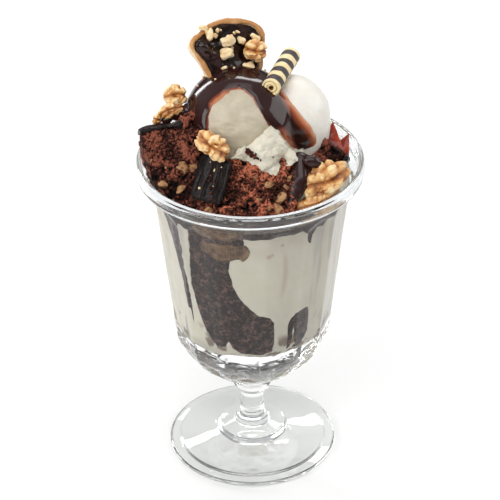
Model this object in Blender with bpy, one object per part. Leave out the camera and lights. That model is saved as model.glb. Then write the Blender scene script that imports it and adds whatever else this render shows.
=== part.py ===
"""Ice cream sundae built in its footed, panelled glass goblet.

Every separate piece is one closed solid in its own object.  Lengths in the
constants are millimetres; MM turns them into metres when meshes are made.
The origin is the middle of the foot's underside, +Z is up, and the front of
the sundae faces -Y.
"""
import math

import bmesh
import bpy
import numpy as np

MM = 0.001

# Goblet
RIM_RADIUS = 52.0
RIM_HEIGHT = 158.2
BAND_HEIGHT = 9.0
FOOT_RADIUS = 39.8
FOOT_EDGE = 3.0
STEM_RADIUS = 5.5
BOWL_BASE_HEIGHT = 38.0
BOWL_TURN_HEIGHT = 72.0
BOWL_TURN_RADIUS = 36.7
BOWL_TAPER = 0.115
INNER_TURN_HEIGHT = 82.0
INNER_TURN_RADIUS = 34.28
INNER_TAPER = 0.118
INNER_FLOOR = 65.0
FLOOR_HEIGHTS = (65.8, 69.0, 74.5, INNER_TURN_HEIGHT)
PANELS = 14
PANEL_DEPTH = 1.1
PANEL_TURN = math.radians(5.8)
SEGMENTS = 4 * PANELS

# Filling
GAP = 0.35
FILL_TOP = 147.0
FOOD_FLOOR = 147.6
FOOD_RADIUS = 51.2

# Ice cream
SCOOP_CENTRE = (-4.5, 0.0, 176.0)
SCOOP_RADIUS = 24.6
SIDE_SCOOP_CENTRE = (18.0, 8.0, 175.0)
SIDE_SCOOP_RADIUS = 18.6

# Small tart: the middle of its top face, its right, up and face directions
TART_CENTRE = (-9.2, 9.1, 204.7)
TART_TURN = math.radians(22.0)
TART_LEAN = math.radians(33.35)
TART_THICKNESS = 10.0
TART_FLARE = 2.0
CRUST_THICKNESS = 2.4
FILLING_DROP = 1.2

# Icing slab that has come loose in front
ICING_PLACE = (-17.2, -32.0, 166.3)
ICING_SIZE = (17.0, 20.0, 2.6)

# Rolled wafer
WAFER_START = (9.4, -8.0, 198.4)
WAFER_DIRECTION = (0.285, 0.957, -0.045)
WAFER_LENGTH = 33.0
WAFER_RADIUS = 4.35
WAFER_BORE = 1.0

VIEW_TILT = math.radians(33.0)


def clear_scene():
    """Start from an empty scene."""
    for old in list(bpy.data.objects):
        bpy.data.objects.remove(old, do_unlink=True)


def material(name, colour, roughness, metallic=0.0, transmission=0.0):
    """A plain Principled finish for one kind of piece."""
    finish = bpy.data.materials.get(name) or bpy.data.materials.new(name)
    finish.use_nodes = True
    shader = finish.node_tree.nodes["Principled BSDF"]
    shader.inputs["Base Color"].default_value = (*colour, 1.0)
    shader.inputs["Roughness"].default_value = roughness
    shader.inputs["Metallic"].default_value = metallic
    shader.inputs["Transmission Weight"].default_value = transmission
    finish.diffuse_color = (*colour, 1.0)
    return finish


def add_object(name, points, faces, finish, smooth=True):
    """One named object from points in millimetres and a list of faces."""
    mesh = bpy.data.meshes.new(name)
    mesh.from_pydata((np.asarray(points, float) * MM).tolist(), [], faces)
    work = bmesh.new()
    work.from_mesh(mesh)
    bmesh.ops.recalc_face_normals(work, faces=work.faces[:])
    bmesh.ops.triangulate(work, faces=work.faces[:])
    work.to_mesh(mesh)
    work.free()
    mesh.update()
    if smooth:
        mesh.shade_smooth()
        mesh.set_sharp_from_angle(angle=math.radians(40))
    mesh.materials.append(finish)
    made = bpy.data.objects.new(name, mesh)
    bpy.context.scene.collection.objects.link(made)
    return made


def unit(vector):
    """The vector at length one."""
    vector = np.asarray(vector, float)
    return vector / np.linalg.norm(vector)


def ring_faces(rows, columns):
    """Faces of a closed tube of rows of points with one pole at each end."""
    faces = []
    for row in range(rows - 1):
        for col in range(columns):
            nxt = (col + 1) % columns
            a, b = row * columns + col, row * columns + nxt
            faces.append((a, b, b + columns, a + columns))
    first, last = rows * columns, rows * columns + 1
    for col in range(columns):
        nxt = (col + 1) % columns
        faces.append((first, nxt, col))
        faces.append((last, (rows - 1) * columns + col, (rows - 1) * columns + nxt))
    return faces


def turned(name, profile, finish, segments=SEGMENTS // 2, shape=None):
    """A solid turned about +Z.  The profile's first and last points are poles.

    shape(angle, radius, height) may change a point's radius round the axis.
    """
    poles = [(0.0, 0.0, profile[0][1]), (0.0, 0.0, profile[-1][1])]
    rings = profile[1:-1]
    points = []
    for radius, height in rings:
        for step in range(segments):
            angle = PANEL_TURN + 2.0 * math.pi * step / segments
            r = shape(angle, radius, height) if shape else radius
            points.append((r * math.sin(angle), -r * math.cos(angle), height))
    return add_object(name, points + poles, ring_faces(len(rings), segments), finish)


def arc(centre, radius, start, end, steps):
    """Points along an arc in the profile plane, angles in degrees."""
    angles = np.radians(np.linspace(start, end, steps))
    return [(centre[0] + radius * math.cos(a), centre[1] + radius * math.sin(a)) for a in angles]


# ---------------------------------------------------------------- goblet
def bowl_outside(height):
    """Radius of the bowl's outside: a rounded base, then a straight taper."""
    if height >= BOWL_TURN_HEIGHT:
        return BOWL_TURN_RADIUS + (height - BOWL_TURN_HEIGHT) * BOWL_TAPER
    drop = (BOWL_TURN_HEIGHT - height) / (BOWL_TURN_HEIGHT - BOWL_BASE_HEIGHT + 2.0)
    return BOWL_TURN_RADIUS * max(1.0 - drop ** 1.8, 0.0) ** 0.75


def bowl_inside(height):
    """Radius of the bowl's inside: a rounded floor, then a straight taper."""
    if height >= INNER_TURN_HEIGHT:
        return INNER_TURN_RADIUS + (height - INNER_TURN_HEIGHT) * INNER_TAPER
    drop = (INNER_TURN_HEIGHT - height) / (INNER_TURN_HEIGHT - INNER_FLOOR)
    return INNER_TURN_RADIUS * max(1.0 - drop ** 2.4, 0.0) ** (1.0 / 2.4)


def panel_shape(angle, radius, height):
    """Fourteen shallow hollow panels on the bowl's outside, fading at both ends."""
    low, high = 56.0, RIM_HEIGHT - BAND_HEIGHT - 4.0
    fade = min(max((height - low) / 10.0, 0.0), 1.0) * min(max((high - height) / 4.0, 0.0), 1.0)
    wave = abs(math.sin((angle - PANEL_TURN) * PANELS / 2.0))
    return radius - PANEL_DEPTH * fade * wave


def goblet_profile():
    """Outside profile from the foot's underside up to the rim and down inside."""
    foot = [(0.0, 0.0), (FOOT_RADIUS - 1.2, 0.0), (FOOT_RADIUS, 1.3), (FOOT_RADIUS - 0.5, FOOT_EDGE),
            (34.4, 4.1), (16.2, 8.8)]
    disc = [(15.4, 11.2), (7.9, 12.4), (7.5, 15.6)]
    stem = [(STEM_RADIUS, 17.2), (STEM_RADIUS, 29.5)]
    knop = [(9.1, 34.2), (8.6, 36.2)]
    heights = [39.5, 45.0, 51.5, 58.0, 66.0, 80.0, 142.0, 146.0]
    bowl = [(bowl_outside(h), h) for h in heights]
    top = RIM_HEIGHT
    rim = [(RIM_RADIUS - 3.6, top - BAND_HEIGHT - 0.4), (RIM_RADIUS, top - 5.9), (RIM_RADIUS, top - 1.6),
           (RIM_RADIUS - 1.6, top), (RIM_RADIUS - 3.0, top - 0.6),
           (RIM_RADIUS - 3.8, top - BAND_HEIGHT + 0.4), (bowl_inside(top - 11.0) + 0.3, top - 10.8)]
    inner = [(bowl_inside(h), h) for h in reversed(FLOOR_HEIGHTS)]
    return foot + disc + stem + knop + bowl + rim + inner + [(0.0, INNER_FLOOR)]


def goblet_shape(angle, radius, height):
    """Panels only on the outside of the bowl."""
    on_bowl = BOWL_BASE_HEIGHT < height < RIM_HEIGHT - BAND_HEIGHT - 1.0
    outside = on_bowl and radius > bowl_inside(height) + 1.5
    return panel_shape(angle, radius, height) if outside else radius


def make_goblet():
    """The clear glass goblet, one solid."""
    glass = material("clear_glass", (0.85, 0.88, 0.88), 0.03, transmission=1.0)
    return turned("goblet", goblet_profile(), glass, segments=SEGMENTS, shape=goblet_shape)


# ---------------------------------------------------------------- tools for food
def bumps(points, size, height, seed):
    """Smooth seeded unevenness: a sum of sine waves in random directions."""
    rng = np.random.default_rng(seed)
    total = np.zeros(len(points))
    for _ in range(7):
        direction = unit(rng.normal(size=3))
        total += np.sin(points @ direction * (2 * math.pi / size) * rng.uniform(0.6, 1.5)
                        + rng.uniform(0, 2 * math.pi))
    return height * total / 2.6


def block(name, centre, axes, size, finish, cuts=3, seed=1, rough=0.5, exponent=9.0):
    """A rounded, uneven block.

    axes are its right, up and front directions and size its full lengths along
    them.  A cube's grid is drawn in at its corners by a high power mean, which
    rounds it, and then gets bumps.
    """
    work = bmesh.new()
    bmesh.ops.create_cube(work, size=2.0)
    bmesh.ops.subdivide_edges(work, edges=work.edges[:], cuts=cuts, use_grid_fill=True)
    work.verts.ensure_lookup_table()
    points = np.array([v.co[:] for v in work.verts])
    faces = [[v.index for v in f.verts] for f in work.faces]
    work.free()
    mean = (np.abs(points) ** exponent).sum(axis=1) ** (1.0 / exponent)
    points = points / mean[:, None]
    half = np.asarray(size) / 2.0
    local = points * half
    local *= (1.0 + bumps(local, 14.0, rough, seed) / half.min())[:, None]
    place = np.asarray(centre) + local @ np.array([unit(a) for a in axes])
    return add_object(name, place, faces, finish)


def ball(name, centre, reach, finish, rows=12, columns=20, pole=(0.0, 0.0, 1.0)):
    """A star-shaped solid: reach(directions) gives the distance from the centre."""
    pole = unit(pole)
    side = unit(np.cross(pole, (0.3, -1.0, 0.1)))
    front = np.cross(pole, side)
    lat = np.linspace(0.0, math.pi, rows + 2)[1:-1]
    lon = np.arange(columns) * 2.0 * math.pi / columns
    grid_lat, grid_lon = np.meshgrid(lat, lon, indexing="ij")
    local = np.stack([np.sin(grid_lat) * np.cos(grid_lon), np.sin(grid_lat) * np.sin(grid_lon),
                      np.cos(grid_lat)], axis=-1).reshape(-1, 3)
    local = np.vstack([local, (0.0, 0.0, 1.0), (0.0, 0.0, -1.0)])
    directions = local @ np.array([side, front, pole])
    points = np.asarray(centre) + directions * reach(directions)[:, None]
    return add_object(name, points, ring_faces(rows, columns), finish)


def add_boolean(target, cutter, operation):
    """Cut or trim a piece with a hidden cutter."""
    step = target.modifiers.new(operation.lower() + "_" + cutter.name, "BOOLEAN")
    step.operation = operation
    step.object = cutter
    step.solver = "EXACT"


def as_cutter(cutter):
    """Keep an object out of the build: it only shapes others."""
    cutter.hide_render = True
    cutter.display_type = "WIRE"
    return cutter


def grown_copy(piece, growth):
    """A cutter a little larger than the untrimmed piece, so that a cut leaves a gap."""
    copy = piece.copy()
    copy.modifiers.clear()
    copy.name = "room_for_" + piece.name
    bpy.context.scene.collection.objects.link(copy)
    swell = copy.modifiers.new("swell", "DISPLACE")
    swell.strength = growth * MM
    swell.mid_level = 0.0
    return as_cutter(copy)


def make_room(target, neighbours):
    """Cut the target back to leave a gap to each neighbour."""
    for neighbour in neighbours:
        add_boolean(target, grown_copy(neighbour, 1.5 * GAP), "DIFFERENCE")


def food_space():
    """The room for food over the filling: inside the rim, then above it."""
    plain = material("guide", (0.5, 0.5, 0.5), 0.5)
    top = RIM_HEIGHT
    inner = RIM_RADIUS - 3.8 - GAP
    profile = [(0.0, FOOD_FLOOR), (bowl_inside(FOOD_FLOOR) - GAP, FOOD_FLOOR),
               (inner, top - BAND_HEIGHT + 1.6), (inner + 0.3, top + 0.5), (FOOD_RADIUS, top + 4.0),
               (FOOD_RADIUS, 245.0), (0.0, 245.0)]
    return as_cutter(turned("space_for_food", profile, plain))


def fill_space(name, finish):
    """The inside of the bowl up to the filling's level, clear of the glass."""
    gap = 1.4 * GAP
    wall = [(bowl_inside(h) - gap, h + gap) for h in FLOOR_HEIGHTS]
    level = (bowl_inside(FILL_TOP) - gap, FILL_TOP)
    profile = [(0.0, INNER_FLOOR + gap)] + wall + [level, (0.0, FILL_TOP)]
    return turned(name, profile, finish)


# ---------------------------------------------------------------- filling of the bowl
def sector(name, levels, finish, inner_point, steps=6):
    """A block behind the glass between two angles, which change with height.

    levels lists height, left angle and right angle in degrees from the front.
    """
    points = []
    for height, left, right in levels:
        points.append((inner_point[0], inner_point[1], height))
        for angle in np.radians(np.linspace(left, right, steps)):
            points.append((60.0 * math.sin(angle), -60.0 * math.cos(angle), height))
    columns = steps + 1
    faces = [list(range(columns))[::-1], list(range(len(points) - columns, len(points)))]
    for row in range(len(levels) - 1):
        for col in range(columns):
            nxt = (col + 1) % columns
            a, b = row * columns + col, row * columns + nxt
            faces += [(a, b, b + columns), (a, b + columns, a + columns)]
    return add_object(name, points, faces, finish, smooth=False)


def wall_nut(name, angle, height, size, finish, seed):
    """A piece of walnut pressed against the inside of the glass."""
    angle = math.radians(angle)
    radius = bowl_inside(height) - 1.2
    centre = (radius * math.sin(angle), -radius * math.cos(angle), height)
    right = np.array([math.cos(angle), math.sin(angle), 0.0])
    out = np.array([math.sin(angle), -math.cos(angle), 0.0])

    def reach(d):
        local = np.stack([d @ right / size[0], d[:, 2] / size[1], d @ out / size[2]], axis=1)
        base = 1.0 / np.linalg.norm(local, axis=1)
        return base * (1.0 + bumps(d * 10.0, 9.0, 0.10, seed))

    return ball(name, centre, reach, finish, rows=7, columns=12)


def make_filling(crumb, cream, walnut):
    """Brownie and melted ice cream up to the level that shows through the glass."""
    space = as_cutter(fill_space("space_for_filling", cream))
    upper = wall_nut("walnut_glass_upper", -20.0, 142.4, (12.0, 4.2, 3.3), walnut, 31)
    lower = wall_nut("walnut_glass_lower", -16.0, 132.6, (12.5, 4.6, 3.0), walnut, 32)
    mass_levels = [(69.0, -20.0, 14.0), (75.0, -27.0, 16.0), (82.0, -36.0, 16.5), (94.0, -47.0, 15.5),
                   (96.5, -48.0, 6.0), (105.0, -51.0, -6.0), (118.0, -55.0, -13.0), (129.0, -58.0, -14.0),
                   (140.6, -61.0, -9.0)]
    crust_levels = [(141.4, -61.0, 40.0), (151.0, -62.0, 43.0)]
    chunk_levels = [(71.0, 35.0, 39.0), (78.0, 30.0, 44.0), (88.0, 28.0, 45.0), (93.0, 31.0, 45.0),
                    (95.5, 40.0, 44.0)]
    mass = sector("bowl_brownie", mass_levels, crumb, (2.0, 10.0), steps=9)
    chunk = sector("bowl_brownie_chunk", chunk_levels, crumb, (12.0, -12.0), steps=4)
    top_layer = sector("bowl_brownie_top", crust_levels, crumb, (2.0, 10.0), steps=12)
    blocks = [mass, chunk, top_layer, upper, lower]
    rooms = [grown_copy(piece, 1.8 * GAP) for piece in blocks]
    upper_room, lower_room = rooms[3:]
    for piece in blocks:
        add_boolean(piece, space, "INTERSECT")
    for room in (upper_room, lower_room):
        add_boolean(mass, room, "DIFFERENCE")
    add_boolean(top_layer, upper_room, "DIFFERENCE")
    melt = fill_space("bowl_cream", cream)
    for room in rooms:
        add_boolean(melt, room, "DIFFERENCE")


# ---------------------------------------------------------------- pieces on top
def frame_from(face, top):
    """Right, up and front directions of a piece from its front and top."""
    face = unit(face)
    top = unit(np.asarray(top) - face * np.dot(face, top))
    return [np.cross(top, face), top, face]


def tilted(turn, roll, tilt=VIEW_TILT):
    """Directions of a piece that leans back by tilt, turned and rolled in degrees."""
    turn, roll = math.radians(turn), math.radians(roll)
    face = np.array([math.sin(turn) * math.cos(tilt), -math.cos(turn) * math.cos(tilt), math.sin(tilt)])
    up = np.array([-math.sin(turn) * math.sin(tilt), math.cos(turn) * math.sin(tilt), math.cos(tilt)])
    right = np.cross(up, face)
    top = up * math.cos(roll) - right * math.sin(roll)
    return frame_from(face, top)


def iced_brownie(name, centre, axes, size, finish, icing, side, thickness, seed):
    """A brownie with its layer of dark icing on its top or its right side."""
    cake = block(name, centre, axes, size, finish, seed=seed)
    axis = {"right": 0, "top": 1}[side]
    layer_size = list(size)
    layer_size[axis] = thickness
    offset = unit(axes[axis]) * (size[axis] + thickness + 0.3) / 2.0
    layer = block(name.replace("brownie", "icing"), np.asarray(centre) + offset, axes, layer_size, icing,
                  cuts=2, seed=seed + 50, rough=0.15, exponent=12.0)
    make_room(layer, [cake])
    return cake, layer


def front_brownie(crumb, icing):
    """The front brownie, cut off behind the slab of icing that stands beside it."""
    slab = tilted(-38.0, 4.0)
    layer = block("icing_front", ICING_PLACE, slab, ICING_SIZE, icing, seed=72, rough=0.15)
    cake = block("brownie_front", (-1.5, -27.6, 159.6), tilted(8.0, -2.0), (42.0, 25.0, 15.0), crumb, seed=22)
    reach = 30.0
    middle = np.array(ICING_PLACE) + slab[2] * reach / 2.0 - slab[0] * 9.0
    room_size = (ICING_SIZE[0] + 18.0, 2.0 * reach, reach + ICING_SIZE[2] + 2.0 * GAP)
    room = block("room_before_icing", middle, slab, room_size, crumb, rough=0.0, exponent=40.0)
    add_boolean(cake, as_cutter(room), "DIFFERENCE")
    return cake, layer


def make_scoops(cream, light_cream):
    """The two scoops: the front one has a torn, ragged foot."""
    centre = np.array(SCOOP_CENTRE)
    lobes = [(unit((15.5, -32.0, -8.6)), 12.0, 10.0), (unit((25.5, -24.0, -3.4)), 8.0, 12.0),
             (unit((-3.5, -30.0, -2.0)), 3.5, 16.0)]

    def reach(d):
        low = np.clip(-d[:, 2], 0.0, 1.0)
        base = SCOOP_RADIUS * (1.0 + 0.16 * low)
        torn = sum(tall * np.exp((d @ toward - 1.0) * narrow) for toward, tall, narrow in lobes)
        return base + torn * (1.0 + bumps(d * 10.0, 6.0, 0.22, 5)) + bumps(d * 10.0, 8.0, 0.35, 6)

    front = ball("scoop_front", centre, reach, cream, rows=11, columns=18)

    def side_reach(d):
        low = np.clip(-d[:, 2], 0.0, 1.0)
        return SIDE_SCOOP_RADIUS * (1.0 + 0.45 * low ** 2) + bumps(d * 10.0, 9.0, 0.25, 8)

    side = ball("scoop_side", SIDE_SCOOP_CENTRE, side_reach, light_cream, rows=8, columns=15)
    return front, side


def tart_edge(angle):
    """Radius of the tart's broken, not quite round edge at an angle from its right."""
    bulge = math.exp(-((angle - math.radians(40.0)) / math.radians(27.0)) ** 2)
    corner = math.exp(-((angle - math.radians(163.0)) / math.radians(15.0)) ** 2)
    cut = math.exp(-((angle - math.radians(212.0)) / math.radians(42.0)) ** 2)
    return 17.1 + 4.0 * bulge + 2.9 * corner - 4.4 * cut


def round_layer(name, outline, finish, columns=18):
    """A layer of the tart: an outline of (distance in from the edge, height) carried round.

    The first and last points are poles on the tart's axis.
    """
    across = np.array([math.cos(TART_TURN), math.sin(TART_TURN) * math.cos(TART_LEAN),
                       -math.sin(TART_TURN) * math.sin(TART_LEAN)])
    high = np.array([0.0, math.sin(TART_LEAN), math.cos(TART_LEAN)])
    face = np.cross(across, high)
    centre = np.asarray(TART_CENTRE)
    points = []
    for inward, height in outline[1:-1]:
        for step in range(columns):
            angle = 2.0 * math.pi * step / columns - 0.5 * math.pi
            reach = tart_edge(angle % (2.0 * math.pi)) - inward
            spoke = math.cos(angle) * across + math.sin(angle) * high
            points.append(centre + spoke * reach + face * height)
    poles = [centre + face * outline[0][1], centre + face * outline[-1][1]]
    return add_object(name, points + poles, ring_faces(len(outline) - 2, columns), finish)


def make_tart(crust, filling):
    """The small chocolate tart stuck into the ice cream: a shell and its filling."""
    depth, flare, wall = TART_THICKNESS, TART_FLARE, CRUST_THICKNESS
    shell = [(0.0, -depth), (flare + 0.8, -depth), (flare, -depth + 0.8), (0.0, -0.8), (0.7, 0.0),
             (wall - 0.6, 0.0), (wall, -0.7), (wall + flare, -depth + wall), (0.0, -depth + wall)]
    inside = [(0.0, -depth + wall + GAP), (wall + flare + 1.6 * GAP, -depth + wall + GAP),
              (wall + 1.6 * GAP, -FILLING_DROP), (wall + 2.2, -FILLING_DROP - 0.4), (0.0, -FILLING_DROP)]
    return round_layer("tart_crust", shell, crust), round_layer("tart_filling", inside, filling)


def make_wafer(finish):
    """The rolled wafer: a tube with a narrow bore."""
    along = unit(WAFER_DIRECTION)
    side = unit(np.cross(along, (0.0, 0.0, 1.0)))
    up = np.cross(side, along)
    count = 16
    rings = [(WAFER_BORE, 0.0), (WAFER_RADIUS - 0.4, 0.0), (WAFER_RADIUS, 0.5),
             (WAFER_RADIUS, WAFER_LENGTH - 0.5), (WAFER_RADIUS - 0.4, WAFER_LENGTH),
             (WAFER_BORE, WAFER_LENGTH)]
    points = []
    for radius, distance in rings:
        for step in range(count):
            angle = 2.0 * math.pi * step / count
            ray = math.cos(angle) * side + math.sin(angle) * up
            points.append(np.asarray(WAFER_START) + along * distance + ray * radius)
    faces = []
    for row in range(len(rings)):
        after = (row + 1) % len(rings)
        for col in range(count):
            nxt = (col + 1) % count
            faces.append((row * count + col, row * count + nxt, after * count + nxt, after * count + col))
    return add_object("rolled_wafer", points, faces, finish)


def walnut_piece(name, centre, size, axes, finish, seed, rows=8, columns=12):
    """A walnut half or a broken bit: a lobed ellipsoid with a groove along it."""
    axes = [unit(a) for a in axes]

    def reach(d):
        local = np.stack([d @ axes[0], d @ axes[1], d @ axes[2]], axis=1)
        base = 1.0 / np.linalg.norm(local / (np.asarray(size) / 2.0), axis=1)
        groove = 1.0 - 0.14 * np.exp(-(local[:, 1] / 0.16) ** 2) * np.clip(local[:, 2], 0.0, 1.0)
        return base * groove * (1.0 + bumps(d * 10.0, 8.0, 0.075, seed))

    return ball(name, centre, reach, finish, rows=rows, columns=columns, pole=axes[0])


def shard(name, base, tip, width, thickness, finish):
    """A thin pointed flake of set sauce, broad at its base."""
    base, tip = np.asarray(base, float), np.asarray(tip, float)
    along = tip - base
    across = unit(np.cross(along, (0.0, -0.83, 0.55)))
    normal = unit(np.cross(across, along))
    outline = [(-0.5, 0.0), (-0.42, 0.45), (-0.10, 0.92), (0.02, 1.0), (0.12, 0.90), (0.40, 0.40), (0.5, 0.0)]
    front = [base + along * h + across * width * s + normal * thickness / 2.0 for s, h in outline]
    back = [base + along * h + across * width * s - normal * thickness / 2.0 for s, h in outline]
    count = len(outline)
    faces = [list(range(count)), list(range(count, 2 * count))[::-1]]
    for step in range(count):
        nxt = (step + 1) % count
        faces.append((nxt, step, count + step, count + nxt))
    return add_object(name, front + back, faces, finish, smooth=False)


def make_walnuts(walnut):
    """The walnut halves and bits that lie on top."""
    lean = tilted(0.0, 0.0)
    return [
        walnut_piece("walnut_front_right", (32.9, -26.0, 161.6), (24.0, 15.5, 11.0), tilted(8.0, 21.0),
                     walnut, 11, rows=8, columns=14),
        walnut_piece("walnut_under", (31.0, -30.0, 153.6), (21.0, 9.5, 8.0), tilted(6.0, 17.0), walnut, 12),
        walnut_piece("walnut_centre", (-16.2, -28.0, 181.2), (16.0, 11.0, 8.5), tilted(-10.0, -32.0),
                     walnut, 13, rows=7, columns=12),
        walnut_piece("walnut_back_left", (-32.7, 0.5, 190.2), (9.6, 9.0, 8.0), lean, walnut, 14,
                     rows=6, columns=10),
        walnut_piece("walnut_flat_left", (-34.9, -4.6, 185.6), (11.0, 5.6, 6.0), tilted(0.0, 22.0), walnut, 15,
                     rows=6, columns=10),
        walnut_piece("walnut_corner_left", (-41.2, -7.0, 182.4), (4.6, 4.4, 4.4), lean, walnut, 16,
                     rows=5, columns=8),
        walnut_piece("walnut_by_tart", (3.0, 11.0, 206.6), (9.4, 9.2, 7.5), lean, walnut, 17,
                     rows=6, columns=10),
    ]


def main():
    """Build the whole sundae."""
    clear_scene()
    crumb = material("brownie_crumb", (0.10, 0.032, 0.020), 0.85)
    icing = material("dark_icing", (0.020, 0.014, 0.015), 0.35)
    cream = material("ice_cream", (0.62, 0.59, 0.47), 0.45)
    light_cream = material("light_ice_cream", (0.86, 0.84, 0.76), 0.45)
    walnut = material("walnut", (0.62, 0.36, 0.14), 0.55)
    crust = material("tart_pastry", (0.52, 0.27, 0.09), 0.7)
    filling = material("tart_chocolate", (0.012, 0.007, 0.006), 0.2)
    wafer = material("striped_wafer", (0.75, 0.62, 0.36), 0.6)
    set_sauce = material("set_sauce", (0.25, 0.02, 0.01), 0.2)

    make_goblet()
    make_filling(crumb, cream, walnut)

    space = food_space()
    left_cake, left_icing = iced_brownie(
        "brownie_left", (-33.2, -17.4, 166.2), tilted(-4.0, 12.8), (27.0, 31.0, 16.0), crumb, icing,
        "top", 2.4, 21)
    front_cake, front_icing = front_brownie(crumb, icing)
    make_room(left_cake, [front_icing, front_cake])
    right_cake, right_icing = iced_brownie(
        "brownie_right", (35.4, -3.0, 158.0), tilted(-10.0, -28.0), (11.0, 12.5, 11.0), crumb, icing,
        "right", 2.2, 23)
    nuts = make_walnuts(walnut)
    flakes = [shard("set_sauce_left", (36.2, 2.5, 160.2), (37.5, 10.0, 170.3), 5.6, 1.2, set_sauce),
              shard("set_sauce_right", (39.6, 4.5, 157.6), (44.6, 9.6, 164.2), 3.8, 1.1, set_sauce)]

    cakes = [left_cake, left_icing, front_cake, front_icing, right_cake, right_icing]
    for piece in cakes + nuts + flakes:
        add_boolean(piece, space, "INTERSECT")
    scoop, side_scoop = make_scoops(cream, light_cream)
    tart = make_tart(crust, filling)
    wafer_piece = make_wafer(wafer)
    for piece in (scoop, side_scoop):
        add_boolean(piece, space, "INTERSECT")
        make_room(piece, cakes + nuts[:3] + flakes)
    make_room(side_scoop, [scoop])
    make_room(nuts[1], [nuts[0]])
    make_room(nuts[4], [nuts[3]])
    make_room(flakes[0], [right_cake])
    for piece in tart:
        make_room(piece, [scoop, side_scoop])
    make_room(wafer_piece, [scoop, side_scoop])
    bpy.context.view_layer.update()


main()
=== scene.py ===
# %% [markdown]
# # An ice cream sundae in a panelled glass goblet
#
# This lesson dresses a finished construction model.  Its solids are already in place and at
# their real size; here each one gets the surface that the eye meets: clear pressed glass,
# melting ice cream, porous brownie, walnut, glossy sauce, baked pastry.
# Nearly every piece is a surface worked out with numpy: a function of two parameters is
# evaluated on a whole grid at once, and the grid becomes a mesh.

# %% Load the construction model
import math

import bpy
import numpy as np
from mathutils import Matrix, Vector


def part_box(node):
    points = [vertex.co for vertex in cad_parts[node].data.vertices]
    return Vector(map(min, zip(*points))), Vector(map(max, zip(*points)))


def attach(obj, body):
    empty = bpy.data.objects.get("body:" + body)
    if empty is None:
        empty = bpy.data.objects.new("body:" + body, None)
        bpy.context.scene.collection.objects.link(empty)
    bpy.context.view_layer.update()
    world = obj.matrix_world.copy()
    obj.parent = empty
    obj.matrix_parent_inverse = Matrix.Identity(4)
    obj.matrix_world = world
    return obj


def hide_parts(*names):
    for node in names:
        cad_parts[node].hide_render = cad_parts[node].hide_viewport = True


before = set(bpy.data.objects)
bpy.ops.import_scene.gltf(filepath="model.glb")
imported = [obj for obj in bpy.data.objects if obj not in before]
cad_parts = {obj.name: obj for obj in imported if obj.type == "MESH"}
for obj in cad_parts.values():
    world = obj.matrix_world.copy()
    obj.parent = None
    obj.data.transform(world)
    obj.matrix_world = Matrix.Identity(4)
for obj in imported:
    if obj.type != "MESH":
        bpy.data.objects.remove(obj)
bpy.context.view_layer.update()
MM = 0.001
print("nodes:", ", ".join(sorted(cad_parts)))

# %% [markdown]
# ## Camera, lights and floor
#
# A product picture of a tall glass is taken with a long lens from a little above, so that the
# sides stay nearly upright and the top of the food shows.  The camera is placed by what it
# looks at, how high it stands over it in degrees and how far away it is.  Its matrix is put
# together from three directions: right, up and back.

# %% Camera
CAMERA_ELEVATION = math.radians(33.35)
CAMERA_DISTANCE = 1.18678
CAMERA_AIM = Vector((-0.00042, 0.0, 0.10818))
CAMERA_ROLL = math.radians(-0.517)
CAMERA_LENS = 185.46

back = Vector((0.0, -math.cos(CAMERA_ELEVATION), math.sin(CAMERA_ELEVATION)))
level_right = Vector((1.0, 0.0, 0.0))
level_up = back.cross(level_right)
right = level_right * math.cos(CAMERA_ROLL) + level_up * math.sin(CAMERA_ROLL)
up = level_up * math.cos(CAMERA_ROLL) - level_right * math.sin(CAMERA_ROLL)

camera = bpy.data.objects.new("camera", bpy.data.cameras.new("camera"))
bpy.context.scene.collection.objects.link(camera)
camera.data.lens = CAMERA_LENS
camera.data.sensor_width = 36.0
camera.data.clip_end = 20.0
place = CAMERA_AIM + back * CAMERA_DISTANCE
camera.matrix_world = Matrix([(right[i], up[i], back[i], place[i]) for i in range(3)] + [(0, 0, 0, 1)])
bpy.context.scene.camera = camera
print("camera at", [round(v, 3) for v in place])

# %% [markdown]
# Glass and sauce show by what they bend and mirror.  In an all white room they would turn flat
# and grey, so the room is kept dim and the white comes from soft lights: tall ones behind on the
# left and on the right, which draw the long highlights on the sauce, wide ones in front on both
# sides, and one overhead that lifts the floor to white.  A soft light is simply a large one.
# The walls of the room are dark near the floor and pale above, which gives clear glass its
# dark outlines.

# %% Soft studio light
def soft_light(name, turn, height, distance, size, brightness, roll=0.0):
    """A lamp of that width and height in metres, seen from the food at an angle turn to the
    right of the front and height above level, and turned to face it; roll tips it sideways.
    Power follows from brightness: pi times area times radiance."""
    turn, height = math.radians(turn), math.radians(height)
    toward = Vector((math.sin(turn) * math.cos(height), -math.cos(turn) * math.cos(height), math.sin(height)))
    lamp = bpy.data.lights.new(name, "AREA")
    lamp.shape = "RECTANGLE"
    lamp.size, lamp.size_y = size
    lamp.energy = math.pi * size[0] * size[1] * brightness
    holder = bpy.data.objects.new(name, lamp)
    bpy.context.scene.collection.objects.link(holder)
    holder.location = Vector((0.0, 0.0, 0.16)) + toward * distance
    holder.rotation_euler = (toward.to_track_quat("Z", "Y").to_matrix() @ Matrix.Rotation(math.radians(roll), 3, "Z")).to_euler()
    return holder


soft_light("light_back_left", -137.0, 20.0, 1.3, (0.20, 1.00), 14.0, roll=30.0)
soft_light("light_behind", 172.0, 41.0, 1.3, (0.80, 0.20), 9.0)
soft_light("light_right", 106.0, 19.0, 1.3, (1.00, 0.75), 2.3)
soft_light("light_front_top", 12.0, 63.0, 1.4, (1.00, 0.90), 2.3)
soft_light("light_front_left", -45.0, 26.0, 1.4, (1.10, 0.80), 4.2)
soft_light("light_overhead", 180.0, 84.0, 1.5, (1.00, 1.00), 1.2)

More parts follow.
